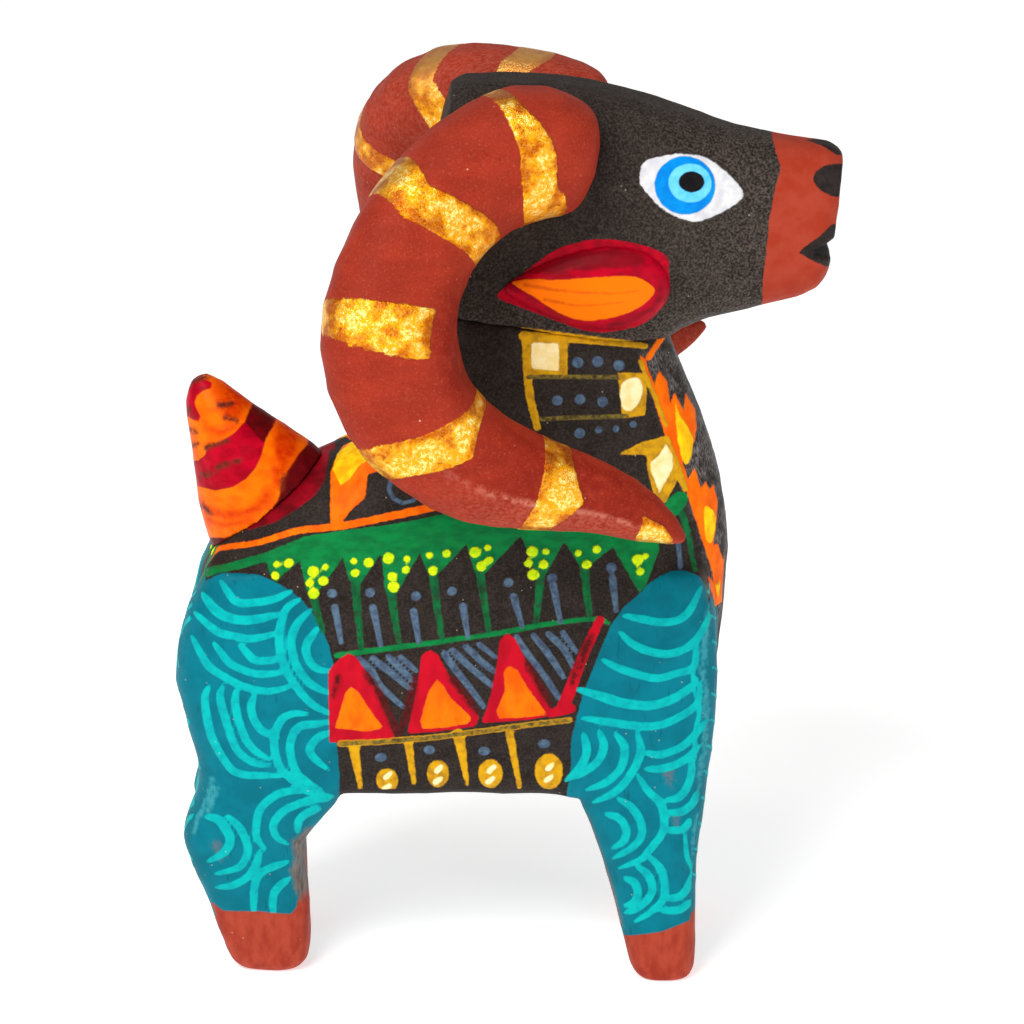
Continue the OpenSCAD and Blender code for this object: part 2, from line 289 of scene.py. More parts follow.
HIND_STROKES = [
    [(-23, 36), (-21.8, 34.3), (-20.3, 34.2), (-18.7, 34.5), (-17.3, 35.2)],
    [(-25.2, 33.3), (-23.4, 31.7), (-22, 31.3), (-20.4, 31.1), (-18.4, 31.6)],
    [(-25.5, 31.2), (-24.3, 28.9), (-23, 27.8), (-21.3, 26.9), (-19.3, 26.5), (-17.2, 27)],
    [(-23.7, 30.7), (-22.4, 29), (-21.2, 28.3), (-19.8, 28), (-17.8, 28.2)],
    [(-21.6, 30.7), (-20.4, 29.3), (-19.2, 29.2), (-18.2, 29.4)],
    [(-16.6, 34.5), (-17.7, 33.7), (-18.2, 32.1), (-18.3, 30.4), (-17.9, 28.6), (-17, 26.9), (-16, 25.6),
     (-14.9, 24.8), (-13.7, 24.4)],
    [(-15.7, 33.6), (-16.7, 32.6), (-17.3, 31.3), (-17.3, 30), (-16.9, 28.6), (-16, 27.3), (-15, 26.6),
     (-14, 26.3)],
    [(-15.1, 32.1), (-15.9, 31), (-16.2, 30.2), (-15.9, 29.1), (-15.2, 28.4), (-13.9, 28.2)],
    [(-24.1, 26.9), (-24.5, 25.6), (-24, 22.5), (-22.6, 19.8), (-21.5, 19.1), (-19.8, 19), (-18.2, 19)],
    [(-23, 26.9), (-23.2, 25.6), (-22.2, 21.9), (-21.4, 20.7), (-20.4, 20.1), (-19.2, 19.9)],
    [(-21.8, 26.7), (-22, 25.6), (-21.8, 24.1), (-21.2, 22.3), (-20.4, 21.2), (-19.2, 20.4)],
    [(-20.4, 26.2), (-20.7, 25.1), (-20.4, 23.8), (-19.7, 22.9), (-18.5, 22.5)],
    [(-16.1, 24.5), (-17.3, 24.5), (-18.3, 23.9), (-18.9, 22.1), (-18.5, 19.9), (-17.6, 18.8),
     (-16.6, 17.8), (-15.4, 17.3), (-14.2, 17.1)],
    [(-14, 23.8), (-15.5, 23.6), (-16.9, 23.3), (-17.6, 21.7), (-17.2, 19.5), (-16.2, 18.4), (-15, 17.6)],
    [(-14.1, 22.9), (-15.3, 22.4), (-16, 21.4), (-15.6, 20.5), (-14.5, 19.5)],
    [(-16.2, 17.6), (-17.9, 17.6), (-19.2, 17), (-20.2, 15.9), (-20.5, 14.6), (-20.5, 13.4), (-19.8, 12.3)],
    [(-14.5, 16.9), (-15.8, 16.8), (-17.2, 16.4), (-18.4, 15.7), (-19.1, 14.6), (-18.9, 13.5), (-18, 12.8)],
    [(-15.3, 16.1), (-16.3, 15.7), (-17, 15), (-17.2, 13.9)],
    [(-22.9, 15.4), (-21.9, 14.3), (-21.3, 12.8), (-21.4, 11.7), (-22.1, 10.7), (-24, 10.1)],
    [(-20.3, 12.2), (-20.6, 11), (-21.3, 9.9), (-22.5, 9.1), (-24, 8.8)],
    [(-18, 11.2), (-19.1, 10.8), (-20.1, 10.3), (-20.7, 9.4), (-20.9, 7.7), (-20.9, 6)],
    [(-17.9, 9.7), (-18.9, 8.8), (-19.3, 7.9), (-19.3, 6)],
]
FRONT_STROKES = [
    [(9.6, 33.2), (11, 32.9), (12.6, 32.6), (14, 32.8), (15, 33.7), (15.8, 35.6)],
    [(9.3, 31.8), (10.4, 30.7), (12, 30), (13.6, 29.9), (15, 30.6), (16, 31.9), (16.8, 33.7)],
    [(7.9, 29.3), (9.2, 28.6), (10.8, 28), (12.4, 27.7), (13.8, 28.1), (15.3, 28.7), (15.6, 30.8)],
    [(6.3, 24.2), (8.1, 23.9), (10.1, 23.6), (12.3, 23.5), (14.1, 24.2), (15.7, 25.5), (15.9, 27.5)],
    [(11.4, 21.2), (12.7, 21), (14.3, 21.6), (15.3, 22.5), (16.5, 24)],
    [(11.5, 19.7), (13.1, 19.8), (14.7, 20.5), (15.9, 21.8)],
    [(6.4, 22.9), (6.7, 21.2), (6, 19.6), (5, 18.6)],
    [(7.7, 23.1), (8.1, 21.8), (7.7, 20.5), (6.5, 19.4), (5.2, 18.8)],
    [(9, 22.9), (9.8, 21.6), (9.5, 19.8), (8.3, 18.5), (6.7, 17.8)],
    [(10.8, 22.9), (11.1, 21.2), (10.3, 19.2), (9.1, 17.7), (7.3, 16.7)],
    [(8.3, 15.7), (9.4, 15.3), (10, 14.3), (9.8, 13.3), (8.9, 12.6)],
    [(9.3, 17.1), (10.4, 16.3), (11.2, 14.9), (11.2, 13.6), (10.4, 12.6), (9, 11.7)],
    [(10.9, 19.1), (11.8, 17.7), (12.8, 16.6), (13.1, 15.1), (12.9, 13.9), (11.8, 12.3), (11.2, 11.6),
     (9.5, 10.8)],
    [(9.9, 9.9), (10.7, 9.5), (11, 8.6), (10.7, 7.7), (9.9, 7.3)],
    [(10.9, 11), (11.8, 10.2), (12.2, 9), (11.8, 7.9), (10.8, 7), (10, 6.7)],
    [(11.8, 12), (12.8, 10.8), (13.2, 9.4), (13.1, 8), (12.3, 7), (10.8, 5.9)],
    [(13.1, 16.9), (14.3, 17.2), (15, 18.2), (15.3, 19.5), (15.2, 20.8)],
    [(13.2, 15.8), (14.5, 15.9), (15.4, 16.6), (15.8, 17.6)],
    [(13.2, 14.3), (14.6, 14.3), (15.2, 15.2)],
    [(13.4, 8), (14.4, 8.2), (15, 8.8), (15.4, 9.6)],
    [(12.8, 7), (14.4, 7), (15.4, 7.8)],
]
THIN_STROKES = [
    [(15.6, 31.4), (15.4, 29.6), (15.3, 28), (15.5, 25.9)],
    [(14.8, 14.2), (15, 11.8), (15.5, 10.4), (14.9, 9.2)],
    [(15.7, 26.8), (15.9, 24.8), (15.5, 22.6), (15.6, 20.6)],
]
SCUFFS = [
    [(16.7, 34.6), (16.3, 31.5), (16.1, 28.5), (16.5, 25.5), (16.7, 23)],
    [(16.2, 26), (16.4, 23), (16.1, 20), (15.9, 17)],
    [(15.8, 15.6), (15.6, 12.6), (15.7, 9)],
    [(-24, 18.8), (-24.5, 17), (-25.2, 15.3), (-25.7, 13.7)],
    [(-23.7, 17.8), (-24.2, 16.4), (-24.8, 15.2)],
]
WORN_PATCHES = [[(13.4, 19.6), (13.5, 18.4)], [(14, 15.4), (14.1, 14.8)], [(-23.9, 12.8), (-23.4, 11.6)]]
BROAD_STROKES = [
    [(-24.6, 34.9), (-23.2, 33.3), (-21.6, 32.7), (-19.9, 32.8), (-18.3, 33.2)],
    [(-24.6, 15.3), (-23.6, 15), (-23, 14.1), (-22.7, 13.2), (-23.2, 12.1), (-24.6, 11.2)],
    [(5.9, 26.7), (7.8, 26.1), (9.6, 25.5), (11.7, 25.3), (13.5, 25.8), (15.1, 26.9), (15.6, 27.7)],
]
GREEN_TOP = [
    (-25.5, 36.6), (-24, 37.1), (-19.4, 38.5), (-16.2, 39.9), (-13.4, 40.4), (-9.5, 40.9), (-7, 41.4),
    (-4.7, 41.9), (-2.8, 42.1), (2, 42.6), (6, 42.4), (10, 41.8), (12.4, 41.2),
]
GREEN_VALLEYS = [
    (-19.3, 37.7), (-16.6, 37.8), (-13.1, 38.1), (-10, 38.5), (-6.9, 38.5), (-3.1, 39.3), (1.3, 40.1),
    (4.8, 39.6), (8.7, 39.1), (12.4, 38.6),
]
GREEN_TIPS = [
    (-18.6, 35.8), (-15.6, 34.5), (-12.1, 35.3), (-9.2, 34.4), (-5.8, 36.1), (-2, 36.2), (2.9, 36.2),
    (6.4, 36.8), (10.9, 35.1),
]
STEM_FEET = [
    None, (-14.8, 31.7), (-11.7, 30.2), (-8.6, 30.8), (-5.1, 31.1), (-1.3, 31.8), (2.5, 32.5), (6.9, 33),
    None,
]
LIME_DABS = [
    (-18.5, 37.5), (-18.6, 36.5), (-17.5, 37.6), (-15.5, 36.9), (-14.5, 37.3), (-15.8, 35.9), (-14.7, 36.1),
    (-15.5, 35), (-12.2, 37.8), (-12.1, 36.8), (-11, 37.7), (-9.4, 38.1), (-7.9, 38), (-8, 37.1),
    (-9.1, 36.5), (-9, 35.6), (-6.1, 38.3), (-4.7, 38.5), (-5.8, 37), (-2.4, 38.6), (-1.4, 39),
    (-1.3, 37.9), (-1.9, 37.4), (2.2, 38.7), (3.3, 38.7), (1.9, 37.7), (3.1, 37.6), (2.3, 36.7),
    (5.9, 38.6), (7.4, 38.9), (6.6, 37.6), (10.7, 38), (11.3, 38.3), (10.9, 37),
]
SEED_DABS = [(-14, 35), (-10.9, 35.1), (-7.2, 34.8), (-4.3, 35.2), (0.3, 36), (3.8, 36.4), (8.6, 37.3)]
SEED_DASHES = [
    ((-13.8, 33.8), (-13.3, 30.7)), ((-10.7, 33.8), (-10.1, 30.5)), ((-7.4, 33.5), (-7, 30.8)),
    ((-3.4, 33.9), (-3, 31.2)), ((0.7, 34.8), (1.4, 32.2)), ((3.9, 35.8), (4.5, 32.6)),
    ((8.7, 36.4), (9, 33.6)),
]
GREEN_LINE = [(-13.7, 29.6), (-9, 30.3), (-5.5, 30.8), (-1, 31.5), (3.3, 32.4), (7.3, 32.9), (8.4, 32.5)]
RED_TENTS = [
    [(-12.7, 29.9), (-12.1, 29.4), (-11.3, 28.2), (-10.4, 26.4), (-9.4, 23.6), (-9, 22.3), (-11.5, 22),
     (-14.4, 21.9), (-14.4, 28.2), (-13.5, 29.3)],
    [(-6.2, 30.2), (-5.5, 29.8), (-4.5, 27.8), (-3, 25.6), (-2.1, 24.2), (-2.4, 23.4), (-5, 23), (-8, 22.7),
     (-7.6, 24.9), (-7, 28), (-6.8, 29.6)],
    [(0.2, 31.6), (0.8, 31.2), (1.9, 28.8), (3.4, 25.6), (4, 24.4), (2, 24), (-1.9, 23.7), (-1.2, 26),
     (-0.7, 28.6), (-0.4, 31.1)],
]
RED_BAR = [(7.7, 32.8), (6.3, 29.5), (5.3, 26.6), (4.7, 25)]
ORANGE_TENTS = [
    [(-12.5, 26.9), (-11.8, 26.2), (-10.7, 24.3), (-9.9, 23.2), (-11.4, 22.9), (-13.9, 23.2), (-13.7, 24),
     (-13, 26.4)],
    [(-5.5, 27.6), (-5, 27), (-4.4, 25.9), (-2.8, 24.3), (-2.9, 23.7), (-4.9, 23.3), (-6.8, 23.2),
     (-6.9, 24), (-6.2, 26.6)],
    [(0.3, 28.8), (1, 28.4), (1.7, 27.1), (2.9, 25.3), (3.5, 24.5), (2.4, 24.3), (-0.5, 24.1), (-0.7, 24.8),
     (0, 26.6), (-0.1, 28.3)],
]
TENT_SHADOWS = [
    [(-11.4, 28.2), (-10.2, 26.2), (-9.1, 23.4), (-8.6, 22.6)],
    [(-4.6, 28), (-3.3, 26.2), (-2.2, 24.6)],
    [(1.7, 29.2), (2.9, 26.9), (3.8, 25.2)],
    [(-7.3, 27.8), (-7.9, 25), (-8.4, 23.2)],
    [(-13.6, 27.8), (-14, 26)],
    [(7, 31.4), (6.2, 29.4), (5.5, 27.2)],
]
RAIN = [
    [(-11.9, 29.3), (-10.8, 28.2), (-10.1, 26.9), (-8.3, 25.1)],
    [(-10.8, 29.4), (-9.4, 28.2), (-7.6, 26.6)],
    [(-9.5, 29.5), (-8.4, 28.4), (-7.4, 27.3)],
    [(-8.5, 29.5), (-7.2, 28.3)],
    [(-5, 29.9), (-3.9, 28.2), (-2.7, 26.6), (-1.7, 25.1)],
    [(-4.3, 30.1), (-2.4, 28.2), (-0.9, 26.9)],
    [(-3.2, 30.4), (-1.8, 29), (-0.8, 28.2)],
    [(-2.1, 30.6), (-0.8, 29.5)],
    [(0.9, 31.3), (1.9, 29.7), (3.2, 27.9), (4.4, 25.9)],
    [(2.3, 31.4), (3.6, 29.7), (4.8, 27.7)],
    [(3.5, 31.6), (4.8, 30.2), (5.7, 28.4)],
    [(4.7, 31.7), (5.8, 30)],
]
OCHRE_LINE = [(-13.5, 21.8), (-8.8, 22.1), (-4.5, 22.6), (0.8, 23.4), (5.3, 24)]
DRIPS = [((-12.4, 21.6), (-11.9, 17.8), 0.9, 0.35), ((-7.9, 21.8), (-7.5, 18.4), 0.7, 0.4),
         ((-3.8, 22.7), (-3.1, 18.2), 1.0, 0.3), ((0.4, 22.7), (1.2, 18), 0.7, 0.4)]
BEADS = [(-9.7, 18.6, 0.9, 1.15), (-5.5, 19.2, 0.9, 1.35), (-1.2, 19.2, 1.0, 1.3), (3.6, 19.4, 1.15, 1.4)]
BEAD_DABS = [(-10.2, 20.6), (-6.2, 21.3), (-1.7, 21.2), (3.2, 21.9)]
NECK_FLAME = [
    (10.7, 55.6), (11.2, 55.2), (12, 53), (12.35, 54.3), (12.95, 53.4), (13.3, 51.5), (13.6, 52.4),
    (14.4, 50.8), (14.5, 52.4), (15.3, 51), (15.5, 49.5), (15.3, 48.2), (14.8, 47.4), (14.3, 46.4),
    (14.6, 45.6), (14.8, 44.9), (15.3, 46), (15.9, 44.2), (16.3, 44.8), (16.6, 43.9), (16.9, 44.6),
    (17.3, 43), (17.1, 40.6), (16.9, 39.2), (17.3, 39.4), (17.9, 37.4), (17.8, 34.6), (17.5, 33.4),
    (17.2, 34.6), (16.8, 37), (16.2, 39), (15.5, 41.2), (14.8, 43.4), (13.7, 46.2), (12.9, 48.6),
    (12.2, 50.8), (11.3, 53.6),
]
FLAME_LEAVES = [
    [(13.65, 51.5), (14, 50.5), (14.65, 49.5), (15.15, 48.4), (15.1, 47.2), (14.65, 46.2), (14.25, 46.7),
     (14, 47.9), (13.8, 49.2)],
    [(16.1, 42.6), (17, 42), (17, 40.4), (16.65, 39.4), (16.25, 40.1)],
]


def scallops(canvas, paint, centre, radii, start, end, width):
    """Nested arcs about a centre, drawn from one angle to another in degrees."""
    for radius in radii:
        turn = np.radians(np.linspace(start, end, 9))
        arc = [(centre[0] + radius * math.cos(a), centre[1] + radius * math.sin(a)) for a in turn]
        canvas.stroke(paint, arc, width, width * 0.7, smooth=False)


def paint_legs(canvas):
    canvas.shape("teal", HIND_LEG)
    canvas.shape("teal", FRONT_LEG)
    for line in HIND_STROKES + FRONT_STROKES:
        canvas.stroke("turquoise", line, 0.74, 0.64, tip=0.4)
    for line in BROAD_STROKES:
        canvas.stroke("turquoise", line, 0.9, 0.72, tip=0.4)
    canvas.shape("hoof", [
        (-32, 7.4), (-24.4, 7.3), (-23.6, 6.6), (-20.6, 6.7), (-17.9, 6.4), (-17.5, 6.8), (-17.1, 8.2),
        (-16.6, 9.6), (-10, 9.8), (-10, -4), (-32, -4),
    ])
    canvas.shape("hoof", [(0, 4.5), (10.5, 4.6), (13, 5), (15.9, 6.2), (24, 6.4), (24, -4), (0, -4)])
    canvas.shape("worn_and_sheen", [
        (-17.1, 7.5), (-17.5, 8.8), (-17.8, 10.3), (-17.5, 11.7), (-17.7, 13), (-16.9, 13.7), (-16.4, 14.3),
        (-12, 14), (-12, 9), (-16.4, 8.6),
    ])
    for line in THIN_STROKES:
        canvas.stroke("turquoise", line, 0.42, 0.34, tip=0.4)
    for line in SCUFFS:
        canvas.stroke("scuff", line, 0.5, 0.3, tip=0.4)
    for line in WORN_PATCHES:
        canvas.stroke("wear_and_highlight", line, 0.7, 0.5)


def paint_band(canvas):
    """The green hanging leaves with lime dabs, their stems and the seeds between them."""
    teeth = [GREEN_VALLEYS[0]]
    for tip, valley in zip(GREEN_TIPS, GREEN_VALLEYS[1:]):
        teeth += [(tip[0] - 0.5, tip[1] + 0.9), tip, (tip[0] + 0.5, tip[1] + 0.7), valley]
    canvas.shape("green", list(reversed(GREEN_TOP)) + [(-25.5, 36)] + teeth)
    for tip, foot in zip(GREEN_TIPS, STEM_FEET):
        if foot is not None:
            middle = ((tip[0] + foot[0]) / 2, (tip[1] + foot[1]) / 2)
            canvas.stroke("stem", [(tip[0], tip[1] + 0.6), middle, foot], 0.75, 0.45)
    canvas.stroke("green", GREEN_LINE, 0.5, 0.4)
    for number, dab in enumerate(LIME_DABS):
        canvas.dots("lime", [dab], 0.3 + 0.06 * (number * 5 % 4))
    canvas.dots("blue_grey", SEED_DABS, 0.42)
    for start, end in SEED_DASHES:
        canvas.stroke("blue_grey", [start, end], 0.65, 0.42)


def paint_tents(canvas):
    """The row of red and orange tents, with slanting rain between them."""
    for line in RAIN:
        canvas.stroke("blue_grey", line, 0.62, 0.52, tip=0.8)
    for tent in RED_TENTS:
        canvas.shape("red", tent)
    canvas.stroke("red", RED_BAR, 0.75, 1.1)
    canvas.stroke("red", [(3.8, 24.6), (5.4, 25)], 0.8)
    for line in TENT_SHADOWS:
        canvas.stroke("maroon", line, 0.7, 0.6, tip=0.5)
    for tent in ORANGE_TENTS:
        canvas.shape("orange", tent)


def paint_beads(canvas):
    """The ochre line under the tents, with drips and beads hanging below it."""
    canvas.stroke("ochre", OCHRE_LINE, 0.55, 0.5)
    canvas.stroke("stain", OCHRE_LINE, 0.4, 0.35)
    for start, end, width, end_width in DRIPS:
        canvas.stroke("ochre", [start, end], width, end_width)
    for x, z, radius, stretch in BEADS:
        canvas.dots("ochre", [(x, z)], radius, stretch)
        canvas.stroke("cream", [(x - 0.1, z + 0.25), (x + 0.3, z + 0.65)], 0.5, 0.4)
        canvas.stroke("cream", [(x - 0.2, z - 0.75), (x + 0.2, z - 0.4)], 0.5, 0.4)
    canvas.dots("blue_grey", BEAD_DABS, 0.5, 0.8)


def paint_back(canvas):
    """The orange line over the green band, and the flames and ring on the back."""
    canvas.stroke("orange", [
        (-25.4, 35.4), (-24.6, 37), (-23.7, 38.5), (-22.6, 38.9), (-19.9, 39.4), (-16.7, 40.4),
        (-13.3, 40.8), (-9.1, 41.7), (-5.2, 42.6), (-2, 43.4),
    ], 0.35, 0.75)
    canvas.shape("orange", [
        (-13.9, 46.3), (-13.2, 48), (-11.5, 48.4), (-9.5, 47.3), (-8.7, 45.8), (-11.1, 45.3), (-11.3, 43.2),
        (-12.4, 42.2), (-13.4, 40.9), (-14.1, 41.1), (-14.2, 45.4),
    ])
    canvas.shape("yellow", [
        (-14, 45.6), (-13.7, 47), (-12.6, 48), (-10.6, 48), (-9.8, 47.2), (-10.8, 46.6), (-11.9, 45.9),
        (-12.6, 44.8), (-13.3, 44.3),
    ])
    canvas.shape("tail_foot", [
        (-14.3, 48), (-14.5, 46.2), (-14.7, 44.6), (-15.4, 43.4), (-16.4, 42.6), (-17.4, 41.9),
        (-18.7, 41.1), (-21, 40.4), (-22, 48),
    ])
    scallops(canvas, "blue_grey", (-8.1, 44.1), [1.3], 70, 380, 0.42)
    canvas.dots("blue_grey", [(-8, 44.6)], 0.36)
    scallops(canvas, "blue_grey", (-2.5, 45.2), [1.3], -60, 250, 0.42)
    canvas.dots("blue_grey", [(-2.5, 45.4), (2.4, 45.6)], 0.4)
    canvas.stroke("orange", [(-4.6, 49.5), (-4.9, 47.2), (-5.6, 45.2)], 0.9, 0.4)


def paint_neck(canvas):
    """The ochre ladder with cream windows on the side of the neck."""
    canvas.stroke("ochre", [(1.4, 57), (6, 56.7), (11.2, 56.3)], 0.7, 0.5)
    canvas.stroke("ochre", [(1.7, 56.9), (1.8, 54), (2, 51.9), (2.6, 49.3)], 0.75, 0.6)
    canvas.shape("ochre", [(1.6, 56.9), (5, 56.9), (5, 53.5), (1.6, 53.5)])
    canvas.shape("cream", [(2.1, 56.5), (4.3, 56.4), (4.3, 54.1), (2.1, 54.3)])
    canvas.shape("ochre", [(9, 54), (11.4, 54), (11.3, 50.4), (9.4, 50.1)])
    canvas.shape("cream", [(9.3, 53), (10.6, 53.6), (11, 52.4), (10.3, 50.9), (9.4, 51)], smooth=True)
    canvas.shape("ochre", [
        (9, 47), (11, 48.1), (13.1, 48.7), (14, 46.5), (14.8, 44), (14.4, 43.8), (13.9, 44.9), (12.9, 42.8),
        (12.1, 43), (11.4, 45.9), (11.4, 47), (10.2, 47),
    ])
    canvas.shape("cream", [
        (12.9, 48), (13.5, 47), (13.5, 45.8), (12.9, 44.8), (12.4, 43.7), (12.2, 44.4), (11.7, 45.6),
        (11.7, 46.4), (12.4, 47),
    ])
    canvas.stroke("ochre", [(10.8, 55), (12.9, 49.6)], 0.36)
    canvas.stroke("stain", [(1.9, 53.6), (9.4, 53.6)], 0.4)
    canvas.stroke("stain", [(2.9, 50), (9.7, 50.3)], 0.4)
    canvas.dots("blue_grey", [(5.8, 54.8), (7.4, 54.9), (9.1, 54.6)], 0.46)
    canvas.dots("blue_grey", [(4.2, 51.6), (6, 51.7), (7.8, 51.5), (6, 48.8)], 0.44)
    canvas.dots("blue_grey", [(7.5, 49.1), (8.9, 49.2), (10.3, 49.6)], 0.3)
    canvas.shape("green", [
        (12.7, 42.4), (13.1, 43.2), (14, 43.9), (14.8, 43.7), (14.7, 42.9), (14.2, 42), (13.6, 41.6),
    ])
    canvas.stroke("stem", [(14.3, 42), (14.9, 39.9), (15.4, 37.1)], 0.6, 0.4)
    canvas.stroke("blue_grey", [(13.9, 40.6), (14.2, 37.3)], 0.4)
    canvas.stroke("orange", [(12.6, 57.1), (11.5, 55.3)], 0.5)
    canvas.shape("orange", NECK_FLAME)
    for line in FLAME_LEAVES:
        canvas.shape("yellow", line, smooth=True)
    # Painted sheen on the black where the neck's front edge turns away from view.
    canvas.shape("fuzz_and_sheen", [
        (11, 55.6), (12.6, 57.4), (13, 62), (26, 62), (26, 33), (17.2, 33.6), (16.3, 38.5), (14.8, 43),
        (14, 46), (12.9, 49.5), (12, 52.5),
    ])


def flame(canvas, y, z, width, height):
    """A tongue of fire with three points and a yellow leaf inside."""
    canvas.shape("orange", [
        (y - width / 2, z), (y - width / 2, z + height * 0.55), (y - width * 0.42, z + height),
        (y - width * 0.2, z + height * 0.62), (y, z + height * 0.86), (y + width * 0.22, z + height * 0.5),
        (y + width * 0.42, z + height * 0.7), (y + width / 2, z + height * 0.3), (y + width * 0.3, z),
    ])
    canvas.shape("yellow", [
        (y - width * 0.1, z + height * 0.1), (y - width * 0.24, z + height * 0.35),
        (y - width * 0.1, z + height * 0.62), (y + width * 0.06, z + height * 0.35),
    ], smooth=True)


def paint_chest(canvas):
    """The front, drawn for one half and mirrored: flames up both edges and a row of drops between."""
    for z, height in ((32, 7), (39.5, 7), (46.5, 5.5)):
        flame(canvas, 3.2, z, 2.4, height)
    for z in (31, 36.5, 42, 47.5):
        canvas.shape("blue_grey", [(0, z), (0.7, z + 1.4), (0, z + 2.8), (-0.7, z + 1.4)], smooth=True)
    canvas.shape("teal", [(2.0, -2), (2.0, 28), (2.8, 31.6), (4, 33.4), (6, 33.8), (12, 33), (12, -2)])
    canvas.shape("hoof", [(0, 6.4), (12, 6), (12, -4), (0, -4)])
    for number in range(12):
        z = 9 + 2.3 * number
        canvas.stroke("turquoise", [(3.6, z + 0.4), (5.4, z - 0.2), (7.4, z + 0.9)], 0.34, 0.2)


def paint_rump(canvas):
    """The rear, drawn for one half and mirrored."""
    canvas.shape("teal", [(1.6, -2), (1.6, 30), (2.2, 34), (4, 36), (12, 36.5), (12, -2)])
    canvas.shape("hoof", [(0, 5.2), (12, 5.2), (12, -4), (0, -4)])
    for z in (29, 20, 11.5):
        scallops(canvas, "turquoise", (8.8, z + 1), [2.9, 4, 5.1], 130, 225, 0.45)
        scallops(canvas, "turquoise", (2.4, z - 3), [1.4, 2.4, 3.4], -50, 70, 0.45)
    canvas.shape("green", [
        (-1, 39.5), (12, 38.6), (12, 36.8), (9, 37), (8, 34.5), (6.8, 37), (5.2, 34.5), (4, 37.1),
        (2.2, 34.4), (1.2, 37.2), (0, 34.4), (-1, 37),
    ])
    canvas.stroke("orange", [(-1, 40.4), (6, 40), (12, 39)], 0.5)
    canvas.dots("lime", [(0.4, 37), (0, 36), (2, 37.4), (2.3, 36.3), (5, 37.4), (5.3, 36.2)], 0.36)
    for z in (31, 26.5, 22):
        canvas.dots("blue_grey", [(0, z)], 0.5)
        canvas.stroke("blue_grey", [(0, z - 1.2), (0, z - 2.8)], 0.6, 0.4)


# ---------------------------------------------------------------- materials


MIX_FIRST, MIX_SECOND, MIX_RESULT = 6, 7, 2  # a Mix node's colour sockets, which share names with others


